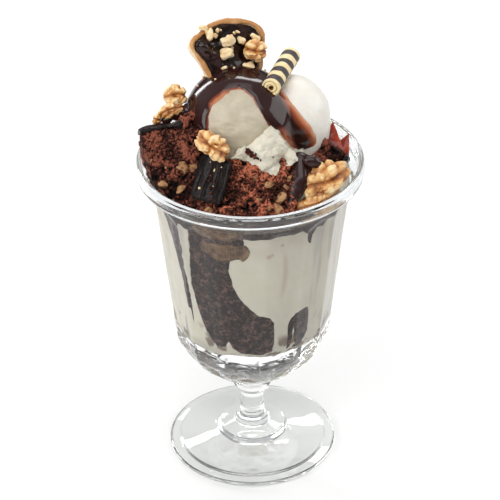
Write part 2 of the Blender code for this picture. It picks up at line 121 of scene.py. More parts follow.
room = bpy.data.worlds.new("room")
bpy.context.scene.world = room
room.use_nodes = True
background = room.node_tree.nodes["Background"]
background.inputs["Color"].default_value = (0.97, 0.98, 1.0, 1.0)
direction = room.node_tree.nodes.new("ShaderNodeTexCoord")
parts = room.node_tree.nodes.new("ShaderNodeSeparateXYZ")
brighter_above = room.node_tree.nodes.new("ShaderNodeMapRange")
for socket, value in (("From Min", 0.02), ("From Max", 0.45), ("To Min", 0.04), ("To Max", 0.50)):
    brighter_above.inputs[socket].default_value = value
room.node_tree.links.new(direction.outputs["Generated"], parts.inputs[0])
room.node_tree.links.new(parts.outputs["Z"], brighter_above.inputs["Value"])
room.node_tree.links.new(brighter_above.outputs["Result"], background.inputs["Strength"])
bpy.context.scene.view_settings.view_transform = "Standard"

# %% [markdown]
# ## Tools for finishes
#
# A finish is a Principled shader with a few procedural nodes in front of it.  These helpers
# keep each finish down to the lines that say something about the material.

# %% Finish helpers
def finish(name, **values):
    """A new material; values go straight onto the shader's sockets, with _ for a space."""
    made = bpy.data.materials.new(name)
    made.use_nodes = True
    shader = made.node_tree.nodes["Principled BSDF"]
    for socket, value in values.items():
        shader.inputs[socket.replace("_", " ")].default_value = value
    return made


def node(made, kind, values=(), **settings):
    """Adds one node to a material; values are its input defaults by name."""
    new = made.node_tree.nodes.new("ShaderNode" + kind)
    for key, value in settings.items():
        setattr(new, key, value)
    for key, value in dict(values).items():
        new.inputs[key].default_value = value
    return new


def shader_of(made):
    """The material's Principled shader."""
    return made.node_tree.nodes["Principled BSDF"]


def join(made, source, target):
    """Links an output to an input."""
    made.node_tree.links.new(source, target)


def grain(made, size, detail=3.0, roughness=0.55, stretch=(1.0, 1.0, 1.0), kind="TexNoise"):
    """Noise on Object coordinates with grains about size millimetres across."""
    coordinates = node(made, "TexCoord")
    turn = node(made, "Mapping")
    turn.inputs["Scale"].default_value = stretch
    join(made, coordinates.outputs["Object"], turn.inputs["Vector"])
    if kind == "TexVoronoi":
        texture = node(made, kind, {"Scale": 1.0 / (size * MM)})
    else:
        texture = node(made, kind, {"Scale": 1.0 / (size * MM), "Detail": detail, "Roughness": roughness})
    join(made, turn.outputs["Vector"], texture.inputs["Vector"])
    return texture.outputs["Distance" if kind == "TexVoronoi" else "Fac"]


def own_value(made, name):
    """A number stored on the piece's own points."""
    return node(made, "Attribute", attribute_name=name).outputs["Fac"]


def colours(made, source, stops):
    """A colour ramp: stops are (position, (r, g, b)) in rising order."""
    ramp = node(made, "ValToRGB")
    elements = ramp.color_ramp.elements
    while len(elements) < len(stops):
        elements.new(0.5)
    for element, (position, colour) in zip(elements, stops):
        element.position = position
        element.color = (*colour, 1.0)
    join(made, source, ramp.inputs["Fac"])
    return ramp.outputs["Color"]


def mixed(made, amount, first, second, mode="MIX"):
    """Mixes two colours, each a socket or an (r, g, b), by a socket or a number."""
    mix = node(made, "Mix", data_type="RGBA", blend_type=mode)
    for value, socket in ((amount, mix.inputs[0]), (first, mix.inputs[6]), (second, mix.inputs[7])):
        if isinstance(value, bpy.types.NodeSocket):
            join(made, value, socket)
        else:
            socket.default_value = (*value, 1.0) if isinstance(value, tuple) else value
    return mix.outputs[2]


def spread(made, source, low, high, out_low=0.0, out_high=1.0):
    """Stretches a value's range from low..high to out_low..out_high, and clamps it."""
    new = node(made, "MapRange", {"From Min": low, "From Max": high, "To Min": out_low, "To Max": out_high})
    join(made, source, new.inputs["Value"])
    return new.outputs["Result"]


def relief(made, source, depth, after=None):
    """Bump of that depth in millimetres; after is an earlier bump to build on."""
    new = node(made, "Bump", {"Strength": 1.0, "Distance": depth * MM})
    join(made, source, new.inputs["Height"])
    if after is not None:
        join(made, after, new.inputs["Normal"])
    return new.outputs["Normal"]


print("finish helpers ready")

# %% Floor
floor_finish = finish("floor_paint", Base_Color=(0.74, 0.74, 0.735, 1.0), Roughness=0.9)
join(floor_finish, relief(floor_finish, grain(floor_finish, 4.0), 0.05), shader_of(floor_finish).inputs["Normal"])
floor_mesh = bpy.data.meshes.new("floor")
HALF_FLOOR = 4.0
floor_mesh.from_pydata([(x * HALF_FLOOR, y * HALF_FLOOR, -0.0002) for x, y in ((-1, -1), (1, -1), (1, 1), (-1, 1))],
                       [], [(0, 1, 2, 3)])
floor_mesh.materials.append(floor_finish)
floor = bpy.data.objects.new("floor", floor_mesh)
bpy.context.scene.collection.objects.link(floor)

# %% [markdown]
# ## Tools for surfaces
#
# Three kinds of grid carry every piece: a ball of latitude and longitude rows for rounded
# things, a box of six merged sheets for slabs and crumbs, and rings along a profile for what is
# turned.  Unevenness comes from noise that gives the same result on every run, because each
# random value is worked out from the lattice corner it belongs to.

# %% Noise
def corner_value(corner, seed):
    """A repeatable number from 0 to 1 for a lattice corner: its whole-number place is
    multiplied by large odd numbers, and the bits are stirred twice."""
    stirred = corner[..., 0] * 374761393 + corner[..., 1] * 668265263 + corner[..., 2] * 987643211 + seed * 69069
    stirred = ((stirred ^ (stirred >> 13)) & 0xFFFFFFF) * 1274126177 & 0xFFFFFFFF
    return ((stirred ^ (stirred >> 15)) & 0xFFFF) / 65535.0


def soft_noise(points, size, seed=0):
    """Noise from -1 to 1 with lumps about size across: values at the eight lattice corners
    round each point, blended with weights that start and end level."""
    scaled = np.asarray(points) / size
    base = np.floor(scaled).astype(np.int64)
    part = scaled - base
    part = part * part * (3.0 - 2.0 * part)
    total = np.zeros(scaled.shape[:-1])
    for corner in np.ndindex(2, 2, 2):
        weight = np.prod(np.where(np.array(corner) == 1, part, 1.0 - part), axis=-1)
        total += weight * corner_value(base + np.array(corner), seed)
    return 2.0 * total - 1.0


def layered_noise(points, size, seed=0, layers=3, fade=0.5):
    """Noise added to itself at half the size and fade times the height, layers times."""
    return sum(fade ** k * soft_noise(points, size / 2.0 ** k, seed + 17 * k) for k in range(layers))


def pores(points, size, seed=0):
    """Distance to the nearest of many scattered points, one in each lattice cell, measured in
    cells: near 0 at a point and about 1 far from any."""
    scaled = np.asarray(points) / size
    base = np.floor(scaled).astype(np.int64)
    nearest = np.full(scaled.shape[:-1], 9.0)
    for step in np.ndindex(3, 3, 3):
        cell = base + np.array(step) - 1
        scattered = cell + np.stack([corner_value(cell, seed + k) for k in (1, 2, 3)], axis=-1)
        nearest = np.minimum(nearest, np.linalg.norm(scaled - scattered, axis=-1))
    return nearest


def smooth_step(low, high, value):
    """Rises from 0 at low to 1 at high, level at both ends: 3t^2 - 2t^3."""
    t = np.clip((np.asarray(value, float) - low) / (high - low), 0.0, 1.0)
    return t * t * (3.0 - 2.0 * t)


def unit(vector):
    """Vectors at length one."""
    vector = np.asarray(vector, float)
    return vector / np.linalg.norm(vector, axis=-1, keepdims=True)


print("noise at three places:", np.round(soft_noise(np.array([[0.2, 0, 0], [5, 1, 2], [9, 9, 9.0]]), 3.0), 3))

# %% Grids
def ring_quads(rows, columns):
    """Faces between rings of points that close round, as four-corner index rows."""
    index = np.arange(rows * columns).reshape(rows, columns)
    turned = np.roll(index, -1, axis=1)
    return np.stack([index[:-1], turned[:-1], turned[1:], index[1:]], axis=-1).reshape(-1, 4)


def cap_quads(rows, columns):
    """The fans that close the first and last ring onto two pole points; the last corner of
    each face is doubled, which marks a triangle."""
    first, last = np.arange(columns), np.arange(columns) + (rows - 1) * columns
    low, high = np.full(columns, rows * columns), np.full(columns, rows * columns + 1)
    return np.vstack([np.stack([low, np.roll(first, -1), first, first], axis=-1),
                      np.stack([high, last, np.roll(last, -1), np.roll(last, -1)], axis=-1)])


def ball_grid(rows, columns):
    """Unit directions in rings from the bottom pole to the top pole, and their faces."""
    lift = np.linspace(-math.pi / 2, math.pi / 2, rows + 2)[1:-1, None]
    turn = (np.arange(columns) * 2.0 * math.pi / columns)[None, :]
    rings = np.stack([np.cos(lift) * np.cos(turn), np.cos(lift) * np.sin(turn),
                      np.sin(lift) * np.ones_like(turn)], axis=-1).reshape(-1, 3)
    points = np.vstack([rings, (0.0, 0.0, -1.0), (0.0, 0.0, 1.0)])
    return points, np.vstack([ring_quads(rows, columns), cap_quads(rows, columns)])


def box_grid(counts):
    """The surface of a cube from -1 to 1 with counts cells along each axis: six sheets whose
    shared edges are merged."""
    sheets, faces, start = [], [], 0
    for axis, side in ((a, s) for a in range(3) for s in (-1.0, 1.0)):
        u, v = (axis + 1) % 3, (axis + 2) % 3
        a, b = np.meshgrid(np.linspace(-1, 1, counts[u] + 1), np.linspace(-1, 1, counts[v] + 1), indexing="ij")
        sheet = np.empty(a.shape + (3,))
        sheet[..., axis], sheet[..., u], sheet[..., v] = side, a, b
        index = start + np.arange(a.size).reshape(a.shape)
        quads = np.stack([index[:-1, :-1], index[1:, :-1], index[1:, 1:], index[:-1, 1:]], axis=-1).reshape(-1, 4)
        faces.append(quads if side > 0 else quads[:, ::-1])
        sheets.append(sheet.reshape(-1, 3))
        start += a.size
    points = np.vstack(sheets)
    _, first, merged = np.unique(np.round(points, 6), axis=0, return_index=True, return_inverse=True)
    return points[first], merged.ravel()[np.vstack(faces)]


def rounded(points, exponent):
    """Draws a cube's corners in: each point is divided by the power mean of its three
    coordinates, so a high exponent leaves a nearly sharp box and 2 gives a ball."""
    return points / ((np.abs(points) ** exponent).sum(axis=-1) ** (1.0 / exponent))[:, None]


def outward(points, quads):
    """Unit normals at the points: the cross product of each face's diagonals, added up over
    the faces that meet there."""
    a, b, c, d = (points[quads[:, k]] for k in range(4))
    across = np.cross(c - a, d - b)
    total = np.stack([sum(np.bincount(quads[:, k], across[:, axis], len(points)) for k in range(4))
                      for axis in range(3)], axis=-1)
    return total / np.maximum(np.linalg.norm(total, axis=1, keepdims=True), 1e-12)


def tilted(turn, roll, tilt=33.0):
    """Right, up and front directions of a piece that leans back by tilt, turned about the
    upright and then rolled in its own plane, all in degrees."""
    turn, roll, tilt = (math.radians(v) for v in (turn, roll, tilt))
    front = np.array([math.sin(turn) * math.cos(tilt), -math.cos(turn) * math.cos(tilt), math.sin(tilt)])
    high = np.array([-math.sin(turn) * math.sin(tilt), math.cos(turn) * math.sin(tilt), math.cos(tilt)])
    side = np.cross(high, front)
    top = high * math.cos(roll) - side * math.sin(roll)
    return np.array([np.cross(top, front), top, front])


print("a ball grid of 3 x 4 has", len(ball_grid(3, 4)[0]), "points; a box grid of 2 has", len(box_grid((2, 2, 2))[0]))

# %% Pieces
def add_piece(name, points, quads, material, slot, stands_for=(), sharp=False, **values):
    """One piece from points in millimetres.  Quads with a doubled last corner become
    triangles.  If the enclosed volume, the sum of corner triple products, is negative, the
    faces are turned round.  values are numbers stored on the points for the finish to read."""
    points = np.asarray(points, float)
    a, b, c = (points[quads[:, k]] for k in (0, 1, 2))
    d = points[quads[:, 3]]
    volume = np.einsum("ij,ij->", a, np.cross(b, c)) + np.einsum("ij,ij->", a, np.cross(c, d))
    triangle = quads[:, 2] == quads[:, 3]
    fours, threes = quads[~triangle], quads[triangle, :3]
    if volume < 0:
        fours, threes = fours[:, ::-1], threes[:, ::-1]
    mesh = bpy.data.meshes.new(name)
    mesh.from_pydata((points * MM).tolist(), [], fours.tolist() + threes.tolist())
    for key, numbers in values.items():
        mesh.attributes.new(key, "FLOAT", "POINT").data.foreach_set("value", np.asarray(numbers, np.float32))
    mesh.materials.append(material)
    if not sharp:
        mesh.shade_smooth()
    made = bpy.data.objects.new(name, mesh)
    bpy.context.scene.collection.objects.link(made)
    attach(made, "root")
    if stands_for:
        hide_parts(*stands_for)
    print(f"{name}: {2 * len(fours) + len(threes)} triangles, {abs(volume) / 6000:.1f} cm3")
    return made


def node_box(name):
    """A construction node's box in millimetres, as lowest corner, highest corner and middle."""
    low, high = (np.array(corner) * 1000.0 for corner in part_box(name))
    return low, high, (low + high) / 2.0


goblet_low, goblet_high, _ = node_box("goblet")
print("goblet", np.round(goblet_high - goblet_low, 1), "mm")

# %% [markdown]
# ## The goblet
#
# Pressed glass is one solid turned shape with fourteen hollow panels on the bowl.  It could be
# spun from a curve with the Screw modifier, but the panels change the radius with the angle, so
# it is easier to write the surface down: rings along a profile, with the radius of the outside
# reduced between the ridges.  The profile is a list of corners, each with its own rounding,
# because the width of a rounded edge decides how it catches the light.

# %% Goblet measures
RIM_RADIUS = goblet_high[0] - 0.05
RIM_TOP = goblet_high[2] - 0.02
BAND_FOOT = RIM_TOP - 9.0
TURN_HEIGHT, BOWL_BASE = 72.0, 38.0
INSIDE_TURN, FLOOR_INSIDE = 82.0, 65.0
PANELS = 14
PANEL_DEPTH = 1.1
PANEL_TURN = math.radians(5.8)


def bowl_outside(height):
    """Radius of the bowl's outside: a straight taper over a rounded base."""
    height = np.asarray(height, float)
    drop = np.clip((TURN_HEIGHT - height) / (TURN_HEIGHT - BOWL_BASE + 2.0), 0.0, 1.0)
    return np.where(height >= TURN_HEIGHT, 36.7 + (height - TURN_HEIGHT) * 0.115,
                    36.7 * (1.0 - drop ** 1.8) ** 0.75)


def bowl_inside(height):
    """Radius of the bowl's inside: a straight taper over a rounded floor, flatter than a
    quarter ellipse."""
    height = np.asarray(height, float)
    drop = np.clip((INSIDE_TURN - height) / (INSIDE_TURN - FLOOR_INSIDE), 0.0, 1.0)
    return np.where(height >= INSIDE_TURN, 33.1 + (height - 72.0) * 0.118, 34.28 * (1.0 - drop ** 2.4) ** (1 / 2.4))


def rounded_profile(corners, steps=5):
    """A profile through corners of (radius, height, rounding): each corner is replaced by a
    curve from rounding millimetres before it to rounding millimetres after it."""
    corners = np.array(corners, float)
    places, amount = corners[:, :2], corners[:, 2]
    line = [places[:1]]
    for before, corner, after, r in zip(places[:-2], places[1:-1], places[2:], amount[1:-1]):
        start = corner + unit(before - corner) * r
        end = corner + unit(after - corner) * r
        t = np.linspace(0.0, 1.0, steps)[:, None] if r > 0 else np.zeros((1, 1))
        line.append((1 - t) ** 2 * start + 2 * t * (1 - t) * corner + t ** 2 * end)
    return np.vstack(line + [places[-1:]])


# %% Goblet profile
foot_and_stem = rounded_profile([
    (0.0, 0.02, 0), (38.4, 0.02, 0.8), (39.8, 1.5, 1.0), (39.3, 2.9, 0.6), (34.9, 3.5, 0.5), (34.3, 4.1, 0.5),
    (16.4, 8.6, 1.0), (15.8, 10.6, 0.8), (14.6, 11.2, 0.7), (8.1, 12.4, 0.7), (7.7, 15.4, 0.6), (5.9, 16.1, 0.8),
    (5.5, 23.0, 3.0), (5.7, 29.8, 2.4), (9.0, 33.6, 0.9), (8.9, 36.0, 0.6), (8.2, 37.0, 0.5), (9.5, 38.6, 0)])
bowl_heights = np.concatenate([np.linspace(39.5, 72.0, 40), np.linspace(74.0, BAND_FOOT - 3.4, 64)])
bowl_wall = np.stack([bowl_outside(bowl_heights), bowl_heights], axis=1)
rim_and_lip = rounded_profile([
    (bowl_outside(BAND_FOOT - 3.0), BAND_FOOT - 3.0, 0), (RIM_RADIUS - 3.5, BAND_FOOT - 0.2, 1.6),
    (RIM_RADIUS - 0.1, BAND_FOOT + 2.8, 1.2), (RIM_RADIUS - 0.55, BAND_FOOT + 3.9, 0.3),
    (RIM_RADIUS, BAND_FOOT + 4.8, 0.4), (RIM_RADIUS - 0.1, RIM_TOP - 1.9, 0.5), (RIM_RADIUS - 1.0, RIM_TOP, 0.9),
    (RIM_RADIUS - 2.7, RIM_TOP, 0.8), (RIM_RADIUS - 3.4, RIM_TOP - 1.6, 1.0), (48.2, BAND_FOOT + 1.2, 1.6),
    (bowl_inside(147.6) + 0.4, 147.6, 1.4), (bowl_inside(144.0), 144.0, 0)], steps=7)
floor_drop = np.sin(np.radians(np.linspace(0.0, 90.0, 26)))[1:-1]
inside_heights = np.concatenate([np.linspace(143.0, INSIDE_TURN + 1.0, 20), [INSIDE_TURN],
                                 INSIDE_TURN - (INSIDE_TURN - FLOOR_INSIDE) * floor_drop])
inside_wall = np.stack([bowl_inside(inside_heights), inside_heights], axis=1)
goblet_profile = np.vstack([foot_and_stem, bowl_wall, rim_and_lip, inside_wall, [(0.0, FLOOR_INSIDE)]])
print("goblet profile has", len(goblet_profile), "points")

# %% Goblet surface
COLUMNS = PANELS * 24
rings = goblet_profile[1:-1]
angle = PANEL_TURN + np.arange(COLUMNS) * 2.0 * math.pi / COLUMNS
height = np.repeat(rings[:, 1:2], COLUMNS, axis=1)
radius = np.repeat(rings[:, :1], COLUMNS, axis=1)
across_panel = np.abs(np.sin((angle - PANEL_TURN) * PANELS / 2.0))[None, :]
on_outside = (radius > bowl_inside(height) + 1.5) & (height > BOWL_BASE) & (height < BAND_FOOT - 1.0)
# The panels end in arches: their middle reaches nearer to the band and to the base.
arch_top = BAND_FOOT - 8.5 + 4.5 * across_panel
arch_foot = 60.0 - 10.0 * across_panel
fade = smooth_step(0.0, 7.0, height - arch_foot) * smooth_step(0.0, 2.6, arch_top - height)
radius = radius - np.where(on_outside, PANEL_DEPTH * fade * across_panel ** 0.85, 0.0)
# Pressing leaves level ripples round the thick base and faint upright ones on the wall.
smooth_wall = np.stack([radius * np.sin(angle), -radius * np.cos(angle), height], axis=-1)
level_ripples = layered_noise(smooth_wall * np.array([0.35, 0.35, 1.5]), 3.2, 12, 3)
upright_ripples = soft_noise(smooth_wall * np.array([1.0, 1.0, 0.06]), 2.6, 13)
at_base = smooth_step(43.0, 52.0, height) * smooth_step(84.0, 72.0, height)
radius = radius + on_outside * (0.45 * level_ripples * at_base + 0.17 * upright_ripples * (1.0 - at_base))
goblet_points = np.stack([radius * np.sin(angle), -radius * np.cos(angle), height], axis=-1).reshape(-1, 3)
goblet_points = np.vstack([goblet_points, (0.0, 0.0, goblet_profile[0, 1]), (0.0, 0.0, FLOOR_INSIDE)])
goblet_quads = np.vstack([ring_quads(len(rings), COLUMNS), cap_quads(len(rings), COLUMNS)])

# %% [markdown]
# Clear glass needs hardly any nodes: it is fully transmitting, smooth, and bends light with an
# index of 1.5.  Pressed glass is never quite flat, so a faint slow relief makes its reflections
# swim a little.  The rim is tinted grey: painted shade, standing in for the dim reflections that
# the thick rim shows.

# %% Clear glass
clear_glass = finish("clear_glass", Base_Color=(0.992, 0.997, 0.995, 1.0), Roughness=0.0, IOR=1.5,
                     Transmission_Weight=1.0)
join(clear_glass, relief(clear_glass, grain(clear_glass, 9.0, detail=1.0), 0.08), shader_of(clear_glass).inputs["Normal"])
glass_place = node(clear_glass, "SeparateXYZ")
join(clear_glass, node(clear_glass, "TexCoord").outputs["Object"], glass_place.inputs["Vector"])
rim_painted_shade = spread(clear_glass, glass_place.outputs["Z"], 145.0 * MM, 152.0 * MM)
# Painted shade: above 145 mm the glass turns grey, standing in for the dim reflections in the thick rim.
join(clear_glass, mixed(clear_glass, rim_painted_shade, (0.992, 0.997, 0.995), (0.84, 0.86, 0.87)),
     shader_of(clear_glass).inputs["Base Color"])
# Lamps shine through glass: rays that only look for shade meet a clear grey film instead.
lamp_film = node(clear_glass, "BsdfTransparent", {"Color": (0.54, 0.545, 0.535, 1.0)})
lamp_mix = node(clear_glass, "MixShader")
join(clear_glass, node(clear_glass, "LightPath").outputs["Is Shadow Ray"], lamp_mix.inputs[0])
join(clear_glass, shader_of(clear_glass).outputs["BSDF"], lamp_mix.inputs[1])
join(clear_glass, lamp_film.outputs["BSDF"], lamp_mix.inputs[2])
join(clear_glass, lamp_mix.outputs["Shader"], clear_glass.node_tree.nodes["Material Output"].inputs["Surface"])
goblet = add_piece("goblet_glass", goblet_points, goblet_quads, clear_glass, "clear_glass", ("goblet",))

# %% [markdown]
# ## What fills the glass
#
# Behind the glass, melted ice cream, brownie and walnuts are pressed flat against the wall.
# Each is its own closed piece whose front follows the inside of the glass and reaches a fifth
# of a millimetre into it, because a thin film of air there would mirror the room.  Where one
# filling gives way to another, its surface dips away from the wall: the signed distance to a
# drawn outline decides how far, and a little noise makes the edge ragged.

# %% Outlines on a surface
def inside_outline(outline, across, high):
    """Signed distance to a closed outline, positive inside: the least distance to any of its
    edges, and a count of the edges that a line to the right crosses for the sign."""
    outline = np.array(outline, float)
    nearest = np.full(np.shape(across), 1e9)
    crossings = np.zeros(np.shape(across), int)
    for (x0, y0), (x1, y1) in zip(outline, np.roll(outline, -1, axis=0)):
        dx, dy = x1 - x0, y1 - y0
        t = np.clip(((across - x0) * dx + (high - y0) * dy) / (dx * dx + dy * dy), 0.0, 1.0)
        nearest = np.minimum(nearest, np.hypot(across - x0 - t * dx, high - y0 - t * dy))
        if dy != 0.0:
            crossings += ((y0 > high) != (y1 > high)) & (across < x0 + (high - y0) * dx / dy)
    return np.where(crossings % 2 == 1, nearest, -nearest)


INTO_WALL = 0.2
MM_PER_DEGREE = 0.66          # along the wall, halfway up

# Outlines on the wall: degrees to the right of the front, and height.
BROWNIE_ON_WALL = [(-41.6, 131), (-43.6, 119), (-43.8, 108), (-42, 100), (-38.6, 90.6), (-35, 84), (-30.6, 79.5),
                   (-26, 75.5), (-20, 77), (-17.5, 82), (-15.5, 77), (-9, 74), (0, 72.6), (9, 72.6), (15.4, 74),
                   (16.6, 80), (16.1, 91.5), (13, 95), (4.5, 97.4), (-1, 101), (-7.6, 107), (-12, 114),
                   (-14.5, 123), (-13, 129), (-4, 130), (-4, 144), (-41, 144)]
STRIP_ON_WALL = [(-70, 149), (-49.5, 149), (-48.5, 128), (-47.5, 110), (-46.3, 92), (-46.8, 84), (-49, 96), (-52, 112),
                 (-57, 128), (-62, 138)]
CHUNK_ON_WALL = [(27.6, 88.9), (29.6, 92.6), (33.4, 94.8), (38, 95.4), (43, 95.2), (45, 90), (45.2, 81),
                 (42.3, 77), (38.9, 74.6), (34.2, 73.4), (33.2, 80), (32.4, 88), (31.2, 80), (30, 72.5), (28, 73.5)]
TOP_BAND_ON_WALL = [(-64, 150), (-63, 141), (-46, 141.6), (-38, 140.6), (-20, 142), (-3, 141.5), (10, 141.4),
                    (24, 141.8), (33, 141.8), (36.5, 139), (37.6, 134), (39.6, 132.6), (40.4, 137), (44, 140.2),
                    (50, 139.5), (53, 142.5), (60, 141), (64, 144), (68, 150)]
UPPER_NUT_ON_WALL = [(-37, 144.5), (-34, 147), (-22, 146.4), (-10, 147), (-4, 144.6), (-5.5, 141.5), (-13, 139.6),
                     (-23, 140.4), (-30, 139.2), (-36, 141)]
LOWER_NUT_ON_WALL = [(-34, 135), (-31, 137.6), (-22, 138.2), (-12, 137.8), (-3, 138), (0, 134.6), (-1.5, 131),
                     (-5, 128.6), (-8.5, 130.5), (-12, 128.4), (-21, 127.8), (-26, 130), (-32, 131.6)]


def on_wall(outline, angle_degrees, height):
    """Signed distance in millimetres to an outline given in degrees and millimetres."""
    in_mm = [(turn * MM_PER_DEGREE, level) for turn, level in outline]
    return inside_outline(in_mm, angle_degrees * MM_PER_DEGREE, height)


def wall_points(angle_degrees, height, depth):
    """Points that lie depth millimetres in from the glass."""
    turn = np.radians(angle_degrees)
    reach = bowl_inside(height) - depth
    return np.stack([reach * np.sin(turn), -reach * np.cos(turn), height], axis=-1)


def ragged(angle_degrees, height, size, amount, seed):
    """Noise along the wall in millimetres, for uneven edges."""
    return amount * layered_noise(wall_points(angle_degrees, height, 0.0), size, seed, 3)


# %% Melted ice cream behind the glass
CREAM_COLUMNS = 420
turn = np.arange(CREAM_COLUMNS) * 2.0 * math.pi / CREAM_COLUMNS
cream_angle = np.degrees(turn - 0.62 * np.sin(turn))       # closer together at the front
cream_angle = np.where(cream_angle > 180.0, cream_angle - 360.0, cream_angle)
level_heights = np.concatenate([INSIDE_TURN - (INSIDE_TURN - FLOOR_INSIDE - 0.03) * np.cos(np.linspace(0.0, 1.45, 40)),
                                np.linspace(80.5, 146.8, 150)])
wall_angle, wall_height = np.meshgrid(cream_angle, level_heights)
brownie_edge = np.max([on_wall(o, wall_angle, wall_height) for o in
                       (BROWNIE_ON_WALL, STRIP_ON_WALL, CHUNK_ON_WALL, TOP_BAND_ON_WALL)], axis=0)
brownie_edge = brownie_edge + ragged(wall_angle, wall_height, 3.0, 0.35, 3)
nut_edge = np.maximum(on_wall(UPPER_NUT_ON_WALL, wall_angle, wall_height),
                      on_wall(LOWER_NUT_ON_WALL, wall_angle, wall_height)) + ragged(wall_angle, wall_height, 2.5, 0.4, 9)
dip = 2.2 * smooth_step(-0.1, 0.9, np.maximum(brownie_edge, nut_edge)) - INTO_WALL
cream_wall = wall_points(wall_angle, wall_height, dip)
top_radii = np.concatenate([bowl_inside(147.0) - np.array([0.15, 0.8]), np.linspace(39.0, 1.5, 26)])
top_turn, top_radius = np.meshgrid(np.radians(cream_angle), top_radii)
cream_top = np.stack([top_radius * np.sin(top_turn), -top_radius * np.cos(top_turn), np.zeros_like(top_turn)], axis=-1)
swell = layered_noise(cream_top, 11.0, 4, 3) * smooth_step(0.0, 4.0, 42.0 - top_radius)
cream_top[..., 2] = 147.1 + 0.8 * swell + 0.5 * smooth_step(0.0, 3.0, 42.0 - top_radius)
cream_points = np.vstack([cream_wall.reshape(-1, 3), cream_top.reshape(-1, 3), [(0, 0, FLOOR_INSIDE - INTO_WALL), (0, 0, 147.4)]])
cream_rows = len(level_heights) + len(top_radii)
cream_quads = np.vstack([ring_quads(cream_rows, CREAM_COLUMNS), cap_quads(cream_rows, CREAM_COLUMNS)])

# %% [markdown]
# Ice cream is white with a warm tint, and light travels a little way into it.  Against the
# glass it looks flat and slightly grey, with faint grey streaks down its sides painted as shade
# where the glass panels' ridges bend the light, and a thin pink band where sauce has mixed in.

# %% Ice cream finishes
def ice_cream_finish(name, light, shade, gloss, relief_depth):
    """Cream with soft patches of two tones, fine ice crystals and light passing into it."""
    made = finish(name, Roughness=gloss, Subsurface_Weight=0.25, Subsurface_Radius=(1.0, 0.7, 0.45),
                  Subsurface_Scale=0.003, IOR=1.4, Coat_Weight=0.15, Coat_Roughness=0.15)
    tone = mixed(made, spread(made, grain(made, 7.0, detail=4.0), 0.35, 0.65), light, shade)
    join(made, tone, shader_of(made).inputs["Base Color"])
    crystals = relief(made, grain(made, 0.5, detail=2.0), relief_depth)
    slow = relief(made, grain(made, 2.2, detail=3.0), relief_depth * 4.0, after=crystals)
    join(made, slow, shader_of(made).inputs["Normal"])
    return made


melted_cream = ice_cream_finish("melted_cream", (0.67, 0.635, 0.535), (0.63, 0.60, 0.50), 0.25, 0.01)
streak = own_value(melted_cream, "streak")
shader_of(melted_cream).inputs["Subsurface Weight"].default_value = 0.1
shader_of(melted_cream).inputs["Specular IOR Level"].default_value = 0.1
shader_of(melted_cream).inputs["Coat Weight"].default_value = 0.0
tinted = mixed(melted_cream, streak, shader_of(melted_cream).inputs["Base Color"].links[0].from_socket, (0.50, 0.38, 0.33))
smeared = mixed(melted_cream, own_value(melted_cream, "smear"), tinted, (0.13, 0.070, 0.045))
# Painted shade: grey streaks down the sides, where the panel ridges bend the light.
with_painted_streaks = mixed(melted_cream, own_value(melted_cream, "bands"), smeared, (0.36, 0.355, 0.34))
join(melted_cream, with_painted_streaks, shader_of(melted_cream).inputs["Base Color"])

streak_angle = np.concatenate([wall_angle.ravel(), np.degrees(top_turn).ravel(), [0.0, 0.0]])
streak_height = np.concatenate([wall_height.ravel(), np.full(top_turn.size, 147.0), [FLOOR_INSIDE, 147.0]])
pink = 0.55 * np.exp(-((streak_angle - 21.5 + 1.2 * np.sin(streak_height / 7.0)) / 1.7) ** 2)
pink = pink * smooth_step(103.0, 112.0, streak_height) * smooth_step(136.0, 126.0, streak_height)
grey_right = 0.08 * smooth_step(30.0, 52.0, streak_angle) * smooth_step(120.0, 60.0, streak_angle)
near_top = 0.22 * smooth_step(128.0, 141.0, streak_height) * (1 + soft_noise(cream_points, 6.0, 5))
fleck = sum(np.exp(-(((streak_angle - a) * MM_PER_DEGREE) ** 2 + (streak_height - h) ** 2) / r ** 2)
            for a, h, r in ((11.0, 131.0, 1.1), (19.6, 136.5, 0.7), (13.2, 131.8, 0.6)))
streak_value = np.clip(pink + grey_right + near_top + 1.2 * fleck, 0.0, 1.0)
low_down = smooth_step(88.0, 78.0, streak_height + 5.0 * soft_noise(cream_points, 5.0, 61))
smear = 0.8 * low_down * smooth_step(0.0, 0.3, layered_noise(cream_points * np.array([1.0, 1.0, 0.45]), 4.5, 62, 4))
# Thin grey streaks run down both sides: painted shade, standing in for the light that the panels' ridges bend.
upright = soft_noise(cream_points * np.array([1.0, 1.0, 0.012]), 2.0, 63)
bands = 0.38 * smooth_step(36.0, 50.0, np.abs(streak_angle)) * smooth_step(0.05, 0.55, upright) \
    * smooth_step(146.5, 142.0, streak_height)
bowl_cream = add_piece("cream_in_glass", cream_points, cream_quads, melted_cream, "ice_cream", ("bowl_cream",),
                       streak=streak_value, smear=smear, bands=bands)


# %% A filling that shows only inside its outlines
def behind_glass(name, outlines, span, levels, counts, material, slot, stands_for, seed, edge=0.35, thick=9.0):
    """A slab bent round the inside of the wall.  Its front touches the glass inside the
    outlines and lies sunk in the cream outside them."""
    box, quads = box_grid((counts[0], 2, counts[1]))
    angle = span[0] + (box[:, 0] + 1.0) / 2.0 * (span[1] - span[0])
    height = levels[0] + (box[:, 2] + 1.0) / 2.0 * (levels[1] - levels[0])
    shown = np.max([on_wall(o, angle, height) for o in outlines], axis=0)
    shown = shown + ragged(angle, height, 3.0, edge, seed)
    front = 3.6 * smooth_step(0.1, -0.9, shown) - INTO_WALL
    depth = np.where(box[:, 1] < -0.99, front, np.where(box[:, 1] > 0.99, thick, 0.5 * (front + thick)))
    return add_piece(name, wall_points(angle, height, depth), quads, material, slot, stands_for)
